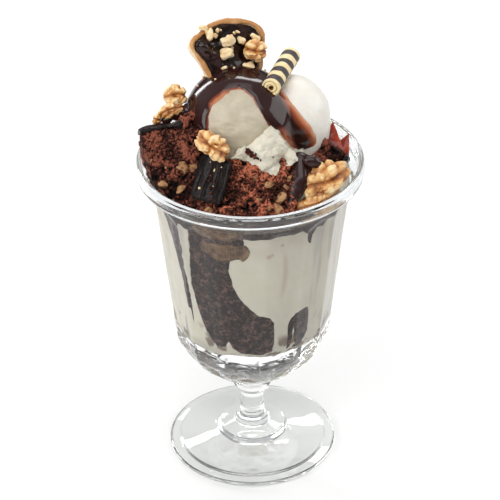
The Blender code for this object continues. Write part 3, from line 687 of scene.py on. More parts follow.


# %% [markdown]
# Wet cake against glass looks dark, flat and slightly grey; out in the air it is red-brown and
# full of holes.  Both finishes are crumb: patches of tone, pores painted dark as shade, and a fine
# relief.

# %% Crumb finishes
def crumb_finish(name, pale, middle, dark, pore_size, depth, roughness):
    """Cake crumb: three tones by noise, pores from scattered cells painted dark as shade, and relief from both."""
    made = finish(name, Roughness=roughness, Specular_IOR_Level=0.08)
    patches = grain(made, 2.6, detail=5.0, roughness=0.65)
    holes = grain(made, pore_size, kind="TexVoronoi")
    tone = colours(made, patches, [(0.30, dark), (0.50, middle), (0.72, pale)])
    # Painted shade: the pores are mixed toward the dark tone.
    pores_painted_shade = spread(made, holes, 0.18, 0.5)
    join(made, mixed(made, pores_painted_shade, dark, tone), shader_of(made).inputs["Base Color"])
    coarse = relief(made, holes, depth)
    fine = relief(made, grain(made, 0.45, detail=3.0), depth * 0.5, after=coarse)
    join(made, fine, shader_of(made).inputs["Normal"])
    return made


wet_crumb = crumb_finish("wet_crumb", (0.19, 0.105, 0.080), (0.036, 0.019, 0.016), (0.005, 0.003, 0.0025),
                         1.7, 0.10, 0.4)
wet_band = crumb_finish("wet_band", (0.11, 0.083, 0.072), (0.055, 0.039, 0.034), (0.028, 0.019, 0.016), 2.2, 0.05, 0.4)
wet_nut = crumb_finish("wet_walnut", (0.29, 0.185, 0.105), (0.20, 0.12, 0.065), (0.08, 0.042, 0.024), 3.6, 0.05, 0.4)

behind_glass("brownie_in_glass", [BROWNIE_ON_WALL, STRIP_ON_WALL], (-68.0, 20.0), (68.0, 145.5), (150, 150),
             wet_crumb, "brownie_crumb", ("bowl_brownie",), 3)
behind_glass("brownie_chunk_in_glass", [CHUNK_ON_WALL], (24.0, 48.0), (69.0, 98.0), (60, 80), wet_crumb,
             "brownie_crumb", ("bowl_brownie_chunk",), 3)
behind_glass("brownie_band_in_glass", [TOP_BAND_ON_WALL], (-66.0, 70.0), (130.0, 147.3), (200, 36), wet_band,
             "brownie_crumb", ("bowl_brownie_top",), 3, thick=12.0)
behind_glass("walnut_in_glass_upper", [UPPER_NUT_ON_WALL], (-40.0, -1.0), (137.0, 147.6), (90, 32), wet_nut,
             "walnut", ("walnut_glass_upper",), 9, edge=0.4, thick=5.0)
behind_glass("walnut_in_glass_lower", [LOWER_NUT_ON_WALL], (-37.0, 3.0), (126.0, 140.0), (90, 40), wet_nut,
             "walnut", ("walnut_glass_lower",), 9, edge=0.4, thick=5.0)

# %% [markdown]
# ## The scoops
#
# A scoop of ice cream is a ball that the spoon has dragged across: faint parallel furrows, small
# pits, and a torn foot where it settles.  The ball is a grid of directions from a centre, and
# its reach in each direction carries the unevenness, so nothing has to be sculpted by hand.

# %% The leaning plane
LEAN = math.radians(33.35)


def lean(points):
    """Coordinates on a plane that leans back as the food is looked at: across, up the plane
    and out of it, in millimetres."""
    return (points[..., 0], points[..., 2] * math.cos(LEAN) + points[..., 1] * math.sin(LEAN),
            points[..., 2] * math.sin(LEAN) - points[..., 1] * math.cos(LEAN))


def from_lean(across, rise, near):
    """The way back: points from their coordinates on that leaning plane."""
    return np.stack([across, rise * math.sin(LEAN) - near * math.cos(LEAN),
                     rise * math.cos(LEAN) + near * math.sin(LEAN)], axis=-1)


def furrows(points, along, spacing, height, seed):
    """Fine furrows: noise on coordinates that are squeezed along one direction."""
    along = unit(along)
    drawn_out = points - np.outer(points @ along, along) * 0.93
    return height * (soft_noise(drawn_out, spacing, seed) + 0.6 * soft_noise(drawn_out, spacing * 2.7, seed + 5))


# %% Two scoops
FRONT_CENTRE, FRONT_RADIUS = np.array([-4.5, 0.0, 176.0]), 24.6
SIDE_CENTRE, SIDE_RADIUS = np.array([18.0, 8.0, 175.0]), 18.6
FOOD_FLOOR = 147.3


def front_reach(d):
    """Reach of the front scoop: a ball that widens towards its foot."""
    low = np.clip(-d[:, 2], 0.0, 1.0)
    points = d * FRONT_RADIUS
    dents = soft_noise(points, 15.0, 6) * 0.7 + layered_noise(points, 4.5, 7, 3) * 0.22
    return FRONT_RADIUS * (1.0 + 0.16 * low) + dents + furrows(points, (0.86, 0.25, -0.42), 0.9, 0.16, 8)


def side_reach(d):
    """Reach of the side scoop: rounder and smoother; its paler finish is painted light."""
    low = np.clip(-d[:, 2], 0.0, 1.0)
    points = d * SIDE_RADIUS
    dents = soft_noise(points, 12.0, 16) * 0.4 + layered_noise(points, 4.0, 17, 3) * 0.1
    return SIDE_RADIUS * (1.0 + 0.45 * low ** 2) + dents + furrows(points, (0.3, 0.9, -0.3), 1.1, 0.08, 18)


def scoop_points(directions, centre, reach):
    """Points of a scoop, kept above the filling and inside the rim."""
    points = centre + directions * reach(directions)[:, None]
    points[:, 2] = np.maximum(points[:, 2], FOOD_FLOOR)
    return points


scoop_directions, scoop_quads = ball_grid(170, 250)
front_points = scoop_points(scoop_directions, FRONT_CENTRE, front_reach)
side_points = scoop_points(scoop_directions, SIDE_CENTRE, side_reach)
# One vanilla in copies of different brightness: the darker one on the front scoop is painted shade, the paler one on
# the side scoop painted light; the torn foot's copy lies between.
vanilla = ice_cream_finish("vanilla", (0.51, 0.455, 0.345), (0.43, 0.375, 0.275), 0.42, 0.03)
vanilla_painted_light = ice_cream_finish("vanilla_painted_light", (0.81, 0.78, 0.715), (0.76, 0.73, 0.66), 0.42, 0.02)
torn_cream = ice_cream_finish("torn_cream", (0.66, 0.625, 0.52), (0.56, 0.515, 0.405), 0.4, 0.03)
add_piece("scoop_front_cream", front_points, scoop_quads, vanilla, "ice_cream", ("scoop_front",))
add_piece("scoop_side_cream", side_points, scoop_quads, vanilla_painted_light, "light_ice_cream", ("scoop_side",))

# %% The torn foot of the front scoop
# Outline on the leaning plane: millimetres to the right, and up that plane.
TORN_OUTLINE = [(-5.3, 134.6), (-0.9, 136.2), (3.5, 139.0), (6.4, 142.6), (9.2, 144.3), (11.9, 142.1), (13.6, 140.5),
                (15.3, 136.8), (17.5, 134.6), (20.1, 132.4), (20.5, 129.5), (17.4, 127.4), (15.0, 127.6), (13.9, 129.4),
                (13.2, 126.1), (11.4, 122.4), (9.1, 122.9), (5.1, 125.3), (1.2, 127.8), (-1.8, 129.5), (-5.3, 130.4),
                (-8.2, 130.5), (-6.2, 132.8)]
torn_box, torn_quads = box_grid((210, 170, 6))
torn_across = 6.2 + 17.5 * torn_box[:, 0]
torn_rise = 133.4 + 14.0 * torn_box[:, 1]
flat = np.stack([torn_across, torn_rise, np.zeros(len(torn_box))], axis=1)
torn_inside = inside_outline(TORN_OUTLINE, torn_across, torn_rise) + 0.55 * layered_noise(flat, 2.6, 21, 3)
scoop_gap = np.clip(FRONT_RADIUS ** 2 - (torn_across - FRONT_CENTRE[0]) ** 2
                    - (torn_rise - (FRONT_CENTRE[1] * math.sin(LEAN) + FRONT_CENTRE[2] * math.cos(LEAN))) ** 2, 0.0, None)
scoop_face = (FRONT_CENTRE[2] * math.sin(LEAN) - FRONT_CENTRE[1] * math.cos(LEAN)) + np.sqrt(scoop_gap)
torn_crests = 1.0 - 2.0 * np.abs(soft_noise(flat, 5.2, 22))
puff = 1.9 * smooth_step(0.0, 3.2, torn_inside) + 0.9 * torn_crests + 0.5 * layered_noise(flat, 2.4, 23, 3)
torn_front = 0.30 * np.minimum(scoop_face, 121.0) + 0.70 * 122.6 + puff
torn_front = torn_front + 3.0 * smooth_step(129.5, 125.0, torn_rise)
torn_front = torn_front - 9.0 * smooth_step(0.15, -1.0, torn_inside) - 6.0 * smooth_step(-0.8, -2.5, torn_inside)
torn_near = np.where(torn_box[:, 2] > 0.99, torn_front, 101.0 + (torn_front - 101.0) * (torn_box[:, 2] + 1.0) / 2.0)
torn_points = from_lean(torn_across, torn_rise, torn_near)
add_piece("scoop_front_torn", torn_points, torn_quads, torn_cream, "ice_cream")

# %% [markdown]
# ## Chocolate sauce
#
# Thick sauce lies over both scoops as one skin and fills the valley between them.  Its surface
# is worked out from a point inside both: each ray leaves both balls somewhere, the larger
# distance is the surface, and a soft maximum rounds the valley.  Inside its outline the sauce
# is a millimetre and more thick with a rounded lip; outside it sinks into the ice cream and
# cannot be seen.  Where it is thin, it lets the light through and turns red-brown, then orange.

# %% Sauce finish
def sauce_finish(name, thin, half, thick, roughness=0.11):
    """Glossy sauce whose colour follows its own thickness, stored on its points."""
    made = finish(name, Roughness=roughness, IOR=1.37, Coat_Weight=0.10, Coat_Roughness=0.03, Coat_IOR=1.5)
    tone = colours(made, own_value(made, "thickness"), [(0.0, thin), (0.30, half), (0.72, thick)])
    join(made, tone, shader_of(made).inputs["Base Color"])
    join(made, relief(made, grain(made, 3.0, detail=2.0), 0.04), shader_of(made).inputs["Normal"])
    return made


chocolate_sauce = sauce_finish("chocolate_sauce", (0.54, 0.22, 0.10), (0.25, 0.055, 0.020), (0.024, 0.007, 0.006))

# %% Sauce over the scoops
SAUCE_CENTRE = np.array([8.0, 3.0, 177.0])
SAUCE_OUTLINE = [(-40, 190), (-40, 147), (-27.5, 147), (-21.0, 141.5), (-19.2, 137.5), (-17.9, 143), (-17.6, 148.7),
                 (-16.2, 153.3), (-12.4, 157.2), (-8.1, 160.2), (-5, 161.1), (-2.6, 160.2), (1.2, 156.6), (4.1, 151.1),
                 (6.6, 146.7), (9, 143.4), (12.6, 140.8), (15.4, 136.6), (17.6, 132.0), (17.4, 126.0), (19.0, 121.0),
                 (24.0, 121.5), (26.0, 129.6), (28.8, 134.0), (30.4, 138.0), (29.8, 141.2), (27.1, 145.4), (22.6, 150.4), (18.3, 156), (14.8, 161),
                 (13.6, 166), (12.6, 170.5), (12.0, 190)]


def ball_exit(d, centre, radius):
    """Distance along each ray from the sauce's centre to where it leaves a ball."""
    offset = SAUCE_CENTRE - centre
    along = d @ offset
    return -along + np.sqrt(np.maximum(along ** 2 - offset @ offset + radius ** 2, 0.0))


def over_scoops(d):
    """The skin over both scoops: a soft maximum of the two exits, log of summed powers."""
    exits = np.stack([ball_exit(d, FRONT_CENTRE, FRONT_RADIUS + 0.3), ball_exit(d, SIDE_CENTRE, SIDE_RADIUS + 0.3)])
    softness = 1.1
    return softness * np.log(np.exp(exits / softness).sum(axis=0))


sauce_directions, sauce_quads = ball_grid(230, 360)
sauce_base = SAUCE_CENTRE + sauce_directions * over_scoops(sauce_directions)[:, None]
sauce_across, sauce_rise, sauce_near = lean(sauce_base)
sauce_inside = inside_outline(SAUCE_OUTLINE, sauce_across, sauce_rise) + 0.35 * soft_noise(sauce_base, 4.0, 31)
behind_limit = sauce_near - 84.0 + 5.0 * soft_noise(sauce_base, 9.0, 33) + 0.35 * (sauce_rise - 160.0)
sauce_inside = np.minimum(sauce_inside, behind_limit)
lip = smooth_step(0.0, 2.4, sauce_inside) ** 0.5
thickness = 1.45 * lip * (1.0 + 0.25 * soft_noise(sauce_base, 7.0, 32))
sink = 2.5 * smooth_step(0.0, -1.2, sauce_inside)
sauce_points = SAUCE_CENTRE + sauce_directions * (over_scoops(sauce_directions) + thickness - sink - 0.35)[:, None]
# Thin places: the band's right edge, and the left lobe where it slides off the cream.
right_edge = smooth_step(7.6, 0.2, sauce_inside) * smooth_step(8.0, 17.0, sauce_across) * smooth_step(128.0, 136.0, sauce_rise)
left_edge = smooth_step(3.4, 0.3, sauce_inside) * smooth_step(-8.0, -11.5, sauce_across) * smooth_step(-20.0, -16.5, sauce_across) \
    * smooth_step(151.0, 155.0, sauce_rise)
thinness = np.clip(1.15 * right_edge + 0.85 * left_edge, 0.0, 1.0)
depth_seen = np.clip(lip * 1.2, 0.0, 1.0) * (1.0 - 0.93 * thinness)
add_piece("sauce_over_scoops", sauce_points, sauce_quads, chocolate_sauce, "chocolate_sauce", thickness=depth_seen)

# %% [markdown]
# ## Brownies
#
# Cut cake is a rounded block whose faces have torn open: big pores where bubbles were, crests
# between them, and lumps the knife dragged out.  The block is a box grid with its corners drawn
# in; each point is then moved along its own normal by noise and by the distance to scattered
# pore centres.  Icing on top is a thin slab of the same kind with far less relief.

# %% Blocks
def block_points(centre, axes, size, spacing, exponent=9.0):
    """A rounded block's points, normals and faces.  size is its full lengths along the right,
    up and front directions in axes; spacing is the distance between grid points."""
    box, quads = box_grid([max(3, int(round(s / spacing))) for s in size])
    local = rounded(box, exponent) * np.array(size) / 2.0
    points = np.array(centre) + local @ np.array(axes)
    return points, outward(points, quads), quads


def torn_crumb(points, normals, seed, depth=1.0):
    """Moves points along their normals.  The crumb is rounded grains: one minus the squared
    distance to scattered places, at 2.1 and 0.95 mm, with rare deep holes and slow lumps.  The
    places are warped by noise, so that grains are not round.  Returns points and lift, which
    is low in the gaps between the grains."""
    warp = np.stack([layered_noise(points, 2.0, seed + 20 + k, 2) for k in (1, 2, 3)], axis=1)
    warped = points + 0.8 * warp
    coarse = 1.0 - np.minimum(pores(warped, 2.1, seed + 5) / 0.85, 1.0) ** 2
    fine = 1.0 - np.minimum(pores(warped, 0.95, seed + 9) / 0.85, 1.0) ** 2
    slow = layered_noise(points, 7.0, seed, 3)
    rarely = smooth_step(-0.3, 0.4, soft_noise(points, 6.0, seed + 4))
    holes = smooth_step(0.55, 0.1, pores(warped + 7.0, 3.6, seed + 6)) * rarely
    move = depth * (1.2 * slow + 0.7 * coarse + 0.8 * fine - 2.2 * holes - 0.85)
    lift = 0.02 + 0.32 * coarse + 0.68 * fine + 0.34 * slow - 0.9 * holes
    return points + normals * move[:, None], np.clip(lift, 0.0, 1.0)


def open_crumb_finish(name, pale, middle, dark):
    """Open crumb: tone from the stored height, painted shade in the holes and painted light on the
    crests, broken up by noise, over a fine relief."""
    made = finish(name, Roughness=0.75, Specular_IOR_Level=0.12)
    height = own_value(made, "lift")
    speck = grain(made, 0.9, detail=4.0, roughness=0.7)
    broken = node(made, "Math", operation="MULTIPLY_ADD")
    join(made, speck, broken.inputs[0])
    broken.inputs[1].default_value = 0.9
    broken.inputs[2].default_value = -0.45
    total = node(made, "Math", operation="ADD")
    join(made, height, total.inputs[0])
    join(made, broken.outputs[0], total.inputs[1])
    # Painted shade and light: low places in the crumb get the dark tone, crests the pale one.
    tone = colours(made, total.outputs[0], [(0.27, dark), (0.62, middle), (0.98, pale)])
    join(made, tone, shader_of(made).inputs["Base Color"])
    pits = relief(made, grain(made, 0.8, kind="TexVoronoi"), 0.32)
    join(made, relief(made, grain(made, 0.35, detail=2.0), 0.20, after=pits), shader_of(made).inputs["Normal"])
    return made


# Two copies of one crumb: lit_crumb, about twice as bright, is painted light on the front brownie; open_crumb is
# painted shade on the other pieces.
open_crumb = open_crumb_finish("open_crumb", (0.26, 0.078, 0.046), (0.042, 0.012, 0.008), (0.003, 0.0016, 0.0012))
lit_crumb = open_crumb_finish("lit_crumb", (0.54, 0.160, 0.086), (0.108, 0.031, 0.018), (0.004, 0.002, 0.0015))
dark_icing = finish("dark_icing", Base_Color=(0.012, 0.009, 0.009, 1.0), Roughness=0.3, IOR=1.24)
icing_tone = mixed(dark_icing, spread(dark_icing, grain(dark_icing, 3.0, detail=4.0), 0.4, 0.7),
                   (0.005, 0.003, 0.003), (0.017, 0.009, 0.009))
join(dark_icing, icing_tone, shader_of(dark_icing).inputs["Base Color"])
join(dark_icing, spread(dark_icing, grain(dark_icing, 1.6), 0.3, 0.7, 0.2, 0.5), shader_of(dark_icing).inputs["Roughness"])
join(dark_icing, relief(dark_icing, grain(dark_icing, 2.6, detail=2.0), 0.18), shader_of(dark_icing).inputs["Normal"])


def keep_inside_glass(points, clearance=0.35):
    """Pulls points in to stay inside the rim and above the filling."""
    radius = np.hypot(points[:, 0], points[:, 1])
    ledge = bowl_inside(FOOD_FLOOR)
    limit = np.interp(points[:, 2], [147.0, 149.5, 151.0, 158.6, 162.0],
                      [ledge, ledge + 3.5, RIM_RADIUS - 3.9, RIM_RADIUS - 3.6, RIM_RADIUS - 0.8]) - clearance
    pull = np.minimum(1.0, limit / np.maximum(radius, 1e-6))
    points = points * np.stack([pull, pull, np.ones_like(pull)], axis=1)
    points[:, 2] = np.maximum(points[:, 2], FOOD_FLOOR)
    return points


def brownie(name, centre, axes, size, seed, stands_for, shape=None, spacing=0.30, material=None):
    """One torn brownie; shape may move its points first."""
    points, normals, quads = block_points(centre, axes, size, spacing)
    if shape is not None:
        points = shape(points)
        normals = outward(points, quads)
    points, lift = torn_crumb(points, normals, seed)
    return add_piece(name, keep_inside_glass(points), quads, material or open_crumb, "brownie_crumb", stands_for, lift=lift)


LEFT_AXES = tilted(-4.0, 12.8)
LEFT_CENTRE = np.array([-33.2, -17.4, 166.2])
LEFT_SIZE = (27.0, 31.0, 16.0)
brownie("brownie_left_crumb", LEFT_CENTRE, LEFT_AXES, LEFT_SIZE, 41, ("brownie_left",))

SLAB_AXES = tilted(-38.0, 4.0)
SLAB_PLACE = np.array([-17.2, -32.0, 166.3])
SLAB_SIZE = (17.0, 20.0, 2.6)


def behind_slab(points):
    """Pushes points that stick out past the icing slab back to just behind it."""
    local = (points - SLAB_PLACE) @ SLAB_AXES.T
    near = smooth_step(SLAB_SIZE[0] / 2.0 + 2.5, SLAB_SIZE[0] / 2.0 - 0.5, np.abs(local[:, 0])) + (local[:, 0] < 0)
    past = np.maximum(local[:, 2] + SLAB_SIZE[2] / 2.0 + 0.6, 0.0) * np.clip(near, 0.0, 1.0)
    return points - past[:, None] * SLAB_AXES[2]


brownie("brownie_front_crumb", (-1.5, -27.6, 159.6), tilted(8.0, -2.0), (42.0, 25.0, 15.0), 42, ("brownie_front",),
        shape=behind_slab, material=lit_crumb)
brownie("brownie_between_crumb", (-25.0, -31.0, 157.5), tilted(-20.0, 6.0), (20.0, 15.0, 11.0), 44, (), shape=behind_slab)
brownie("brownie_left_corner_crumb", from_lean(np.array([-26.5]), np.array([145.5]), np.array([108.5]))[0],
        tilted(10.0, 30.0), (11.0, 9.5, 10.0), 45, (), spacing=0.3)
RIGHT_AXES = tilted(-10.0, -28.0)
RIGHT_CENTRE = np.array([35.4, -3.0, 158.0])
brownie("brownie_right_crumb", RIGHT_CENTRE - RIGHT_AXES[0] * 4.0, RIGHT_AXES, (19.0, 13.5, 11.0), 43, ("brownie_right",), spacing=0.35)

# %% Icing
def icing(name, centre, axes, size, seed, stands_for, shape=None, spacing=0.4, rough=0.28):
    """A slab of set icing, a little uneven; shape(local, points) may crease it."""
    points, normals, quads = block_points(centre, axes, size, spacing, exponent=7.0)
    move = rough * (layered_noise(points, 5.0, seed, 4) + 0.5)
    if shape is not None:
        move = move + shape((points - np.array(centre)) @ np.array(axes).T)
    points = points + normals * move[:, None]
    return add_piece(name, keep_inside_glass(points), quads, dark_icing, "dark_icing", stands_for)


def creases(local):
    """Two long folds down the slab's face and one short one: narrow grooves, deepest in the
    middle of their length."""
    lines = [(-0.6, 0.10, 0.0, 10.0, 0.9), (3.4, -0.05, 2.0, 7.5, 0.7), (-5.2, 0.04, -2.0, 5.0, 0.35)]
    total = np.zeros(len(local))
    for offset, lean_over, middle, half, deep in lines:
        line = local[:, 0] - offset - lean_over * local[:, 1] - 0.35 * np.sin(local[:, 1] / 2.3)
        total -= deep * np.exp(-(line / 0.55) ** 2) * np.exp(-((local[:, 1] - middle) / half) ** 4)
    swell = 0.25 * np.cos((local[:, 0] + 4.0) * math.pi / 7.0)
    return (0.9 * total + swell) * (local[:, 2] > 0)


icing("icing_front_slab", SLAB_PLACE, SLAB_AXES, SLAB_SIZE, 72, ("icing_front",), shape=creases, spacing=0.32)
icing("icing_left_layer", LEFT_CENTRE + LEFT_AXES[1] * (LEFT_SIZE[1] / 2.0 + 0.5) - LEFT_AXES[0] * 3.0, LEFT_AXES,
      (22.0, 1.9, 16.4), 71, ("icing_left",), rough=1.0)
icing("icing_right_layer", RIGHT_CENTRE + RIGHT_AXES[0] * 6.4, RIGHT_AXES, (2.0, 12.2, 10.8), 73, ("icing_right",))

# %% [markdown]
# ## Walnuts
#
# A walnut half is an oval dome of folded lobes with a groove along the middle, not unlike a
# brain.  The lobes are rounded humps, one minus the squared distance to scattered places, at
# two sizes, with the places warped by noise so that the lobes are drawn out and uneven.  The
# hump height, stored on the points, colours the valleys dark brown and the crests pale: partly
# the nut's own skin, partly painted shade in the valleys and painted highlight on the crests.

# %% Walnut finish
walnut_finish = finish("walnut", Roughness=0.38, Subsurface_Weight=0.15, Subsurface_Radius=(1.0, 0.55, 0.25),
                       Subsurface_Scale=0.0015, Coat_Weight=0.1, Coat_Roughness=0.25)
# Partly painted: near-black valleys are painted shade and pale crests painted highlight, over the skin's own brown.
fold_tone_and_shade = colours(walnut_finish, own_value(walnut_finish, "fold"),
                    [(0.16, (0.16, 0.045, 0.011)), (0.50, (0.45, 0.17, 0.042)), (0.76, (0.72, 0.44, 0.17)),
                     (1.0, (0.86, 0.70, 0.42))])
skin = spread(walnut_finish, grain(walnut_finish, 2.4, detail=4.0), 0.48, 0.7, 0.0, 0.55)
join(walnut_finish, mixed(walnut_finish, skin, fold_tone_and_shade, (0.52, 0.22, 0.06)), shader_of(walnut_finish).inputs["Base Color"])
join(walnut_finish, relief(walnut_finish, grain(walnut_finish, 0.8, detail=3.0), 0.14),
     shader_of(walnut_finish).inputs["Normal"])


def walnut(name, centre, size, axes, seed, stands_for, grid=(90, 130), fold_size=4.0, groove=1.0):
    """One walnut piece: an ellipsoid's radius in each direction, raised by humps of two sizes
    and cut by a wandering groove along its middle."""
    axes = np.array(axes)
    local, quads = ball_grid(*grid)
    half = np.array(size) / 2.0
    base = 1.0 / np.linalg.norm(local / half, axis=1)
    shell = local * base[:, None]
    warp = shell + 0.28 * fold_size * np.stack([layered_noise(shell, 0.8 * fold_size, seed + k, 2) for k in (1, 2, 3)], axis=1)
    humps = 1.0 - np.minimum(pores(warp, fold_size, seed + 4) / 0.9, 1.0) ** 2
    small = 1.0 - np.minimum(pores(warp, fold_size * 0.45, seed + 5) / 0.9, 1.0) ** 2
    middle = shell[:, 1] - 0.08 * size[1] * np.sin(shell[:, 0] * 5.0 / size[0] + seed)
    cut = groove * np.exp(-(middle / (0.08 * size[1])) ** 2) * (shell[:, 2] > 0)
    fold = np.clip((0.72 * humps + 0.36 * small) * (1.0 - 0.6 * cut), 0.0, 1.0)
    reach = base * (1.0 + 0.16 * soft_noise(shell, 0.45 * max(size), seed + 6)) - 0.78 * half.min() * (0.72 - fold)
    points = np.array(centre) + local * np.minimum(reach, base * 1.12)[:, None] @ axes
    return add_piece(name, keep_inside_glass(points), quads, walnut_finish, "walnut", stands_for, fold=fold)


level = tilted(0.0, 0.0)
walnut("walnut_half_front_right", (32.9, -26.0, 161.6), (25.0, 16.5, 12.0), tilted(8.0, 21.0), 111, ("walnut_front_right",),
       grid=(150, 210), fold_size=6.4)
walnut("walnut_half_under", (31.0, -30.0, 153.6), (21.5, 10.0, 8.5), tilted(6.0, 17.0), 112, ("walnut_under",),
       grid=(110, 150), fold_size=4.6)
walnut("walnut_half_centre", (-16.2, -28.0, 181.2), (16.6, 10.6, 9.2), tilted(-10.0, -32.0), 118, ("walnut_centre",),
       grid=(120, 160), fold_size=4.0)
walnut("walnut_bit_back_left", (-32.7, 0.5, 190.2), (10.2, 9.6, 8.6), level, 114, ("walnut_back_left",), fold_size=4.0)
walnut("walnut_bit_flat_left", (-34.9, -4.6, 185.6), (11.6, 6.2, 6.4), tilted(0.0, 22.0), 115, ("walnut_flat_left",),
       fold_size=3.4)
walnut("walnut_bit_corner_left", (-41.2, -7.0, 182.4), (5.0, 4.8, 4.8), level, 116, ("walnut_corner_left",),
       grid=(50, 70), fold_size=3.0)
walnut("walnut_bit_by_tart", (3.0, 11.0, 206.6), (10.0, 9.6, 8.0), level, 117, ("walnut_by_tart",), fold_size=4.2)

# %% [markdown]
# ## The small tart
#
# A shortcrust shell, filled with chocolate and broken a little out of round, stands in the ice
# cream with its top turned to the front.  A profile of (distance in from the edge, height over
# the top) is carried round the edge.  The edge itself is a formula: a radius that bulges in one
# direction and is cut back in another.  How high the pastry lies, with some noise, is stored as
# a browning value, because the rim bakes darkest.

# %% Tart shape
TART_CENTRE = np.array([-9.2, 9.1, 204.7])
TART_TOP = 218.85
TART_TURN = math.radians(22.0)
TART_ACROSS = np.array([math.cos(TART_TURN), math.sin(TART_TURN) * math.cos(LEAN), -math.sin(TART_TURN) * math.sin(LEAN)])
TART_HIGH = np.array([0.0, math.sin(LEAN), math.cos(LEAN)])
TART_FACE = np.cross(TART_ACROSS, TART_HIGH)
TART_THICKNESS, TART_FLARE, CRUST = 10.0, 2.0, 2.4


def tart_edge(angle):
    """Radius of the tart's edge at an angle from its right: bell-shaped bulges at the upper
    right and the left, and a bell-shaped cut on the left and below."""
    bulge = np.exp(-((angle - math.radians(40.0)) / math.radians(27.0)) ** 2)
    corner = np.exp(-((angle - math.radians(163.0)) / math.radians(15.0)) ** 2)
    cut = np.exp(-((angle - math.radians(212.0)) / math.radians(42.0)) ** 2)
    return 17.1 + 4.0 * bulge + 2.9 * corner - 4.4 * cut


def tart_layer(outline, columns=220):
    """A closed profile carried round the edge; its first and last points lie on the axis."""
    inward, height = np.array(outline, float).T
    angle = (np.arange(columns) / columns - 0.25) * 2.0 * math.pi
    edge = tart_edge(angle % (2.0 * math.pi))[None, :]
    reach = np.maximum(edge - inward[1:-1, None], 0.0) if inward.max() < 12.0 else \
        np.where(inward[1:-1, None] < 8.0, edge - inward[1:-1, None], (edge - 8.0) * (20.0 - inward[1:-1, None]) / 12.0)
    spokes = np.cos(angle)[:, None] * TART_ACROSS + np.sin(angle)[:, None] * TART_HIGH
    rows = TART_CENTRE + reach[..., None] * spokes + height[1:-1, None, None] * TART_FACE
    poles = TART_CENTRE + np.array([[height[0]], [height[-1]]]) * TART_FACE
    count = len(inward) - 2
    return np.vstack([rows.reshape(-1, 3), poles]), np.vstack([ring_quads(count, columns), cap_quads(count, columns)])


def dense(outline, spacing):
    """The same open outline with points no further apart than spacing."""
    outline = np.array(outline, float)
    line = []
    for start, end in zip(outline[:-1], outline[1:]):
        count = max(1, int(math.ceil(np.linalg.norm(end - start) / spacing)))
        line.append(start + (end - start) * (np.arange(count) / count)[:, None])
    return np.vstack(line + [outline[-1:]])


# %% Tart crust
# Inward distances past 8 stand for the way from the rim to the axis, which they reach at 20.
crust_outline = dense([(20.0, -TART_THICKNESS), (8.0, -TART_THICKNESS), (TART_FLARE + 0.8, -TART_THICKNESS),
                       (TART_FLARE, -TART_THICKNESS + 0.8), (0.0, -0.9), (0.2, -0.3), (0.8, 0.1), (CRUST - 0.7, 0.1),
                       (CRUST - 0.2, -0.3), (CRUST, -1.0), (CRUST + TART_FLARE, -TART_THICKNESS + CRUST),
                       (8.0, -TART_THICKNESS + CRUST), (20.0, -TART_THICKNESS + CRUST)], 0.5)
crust_points, crust_quads = tart_layer(crust_outline)
crust_relief = 0.32 * layered_noise(crust_points, 5.0, 51, 2) + 0.24 * layered_noise(crust_points, 1.2, 52, 3)
crust_points = crust_points + outward(crust_points, crust_quads) * (crust_relief - 0.1)[:, None]
crust_points[:, 2] = np.minimum(crust_points[:, 2], TART_TOP)
over_face = (crust_points - TART_CENTRE) @ TART_FACE
baked = np.clip(0.8 * smooth_step(-2.6, 0.1, over_face) + 0.3 * soft_noise(crust_points, 6.0, 53), 0.0, 1.0)

pastry = finish("tart_pastry", Roughness=0.62, Specular_IOR_Level=0.3)
pastry_mix = node(pastry, "Math", operation="MULTIPLY_ADD")
join(pastry, grain(pastry, 0.8, detail=5.0, roughness=0.7), pastry_mix.inputs[0])
pastry_mix.inputs[1].default_value = 0.7
join(pastry, own_value(pastry, "baked"), pastry_mix.inputs[2])
join(pastry, colours(pastry, pastry_mix.outputs[0], [(0.35, (0.82, 0.67, 0.48)), (0.8, (0.70, 0.45, 0.23)),
                                                    (1.15, (0.48, 0.23, 0.085))]), shader_of(pastry).inputs["Base Color"])
join(pastry, relief(pastry, grain(pastry, 0.7, detail=4.0), 0.3), shader_of(pastry).inputs["Normal"])
add_piece("tart_crust_shell", crust_points, crust_quads, pastry, "tart_pastry", ("tart_crust",), baked=baked)

# %% Tart filling
filling_outline = dense([(20.0, -TART_THICKNESS + CRUST - 0.1), (8.0, -TART_THICKNESS + CRUST - 0.1),
                         (CRUST + TART_FLARE - 0.2, -TART_THICKNESS + CRUST - 0.1), (CRUST - 0.15, -1.9),
                         (CRUST + 0.3, -1.0), (CRUST + 1.2, -1.3), (8.0, -1.1), (20.0, -1.0)], 0.5)
filling_points, filling_quads = tart_layer(filling_outline)
on_face = filling_points - TART_CENTRE
fold_along = (on_face @ TART_ACROSS + 12.0) * 0.84 - (on_face @ TART_HIGH - 4.6) * 0.54
fold_over = (on_face @ TART_ACROSS + 12.0) * 0.54 + (on_face @ TART_HIGH - 4.6) * 0.84
one_fold = 3.0 * np.exp(-(fold_along / 5.0) ** 2 - (fold_over / 2.9) ** 2)
filling_swell = one_fold + 1.3 * soft_noise(filling_points, 7.0, 55) + 0.45 * layered_noise(filling_points, 3.4, 56, 2)
near_face = smooth_step(-2.6, -1.2, (filling_points - TART_CENTRE) @ TART_FACE)
filling_points = filling_points + TART_FACE * (filling_swell * near_face)[:, None]
tart_chocolate = finish("tart_chocolate", Roughness=0.1, IOR=1.38, Coat_Weight=0.12, Coat_Roughness=0.04)
join(tart_chocolate, mixed(tart_chocolate, spread(tart_chocolate, grain(tart_chocolate, 5.0), 0.4, 0.7),
                           (0.010, 0.004, 0.003), (0.034, 0.011, 0.008)), shader_of(tart_chocolate).inputs["Base Color"])
join(tart_chocolate, relief(tart_chocolate, grain(tart_chocolate, 4.0, detail=1.0), 0.05),
     shader_of(tart_chocolate).inputs["Normal"])
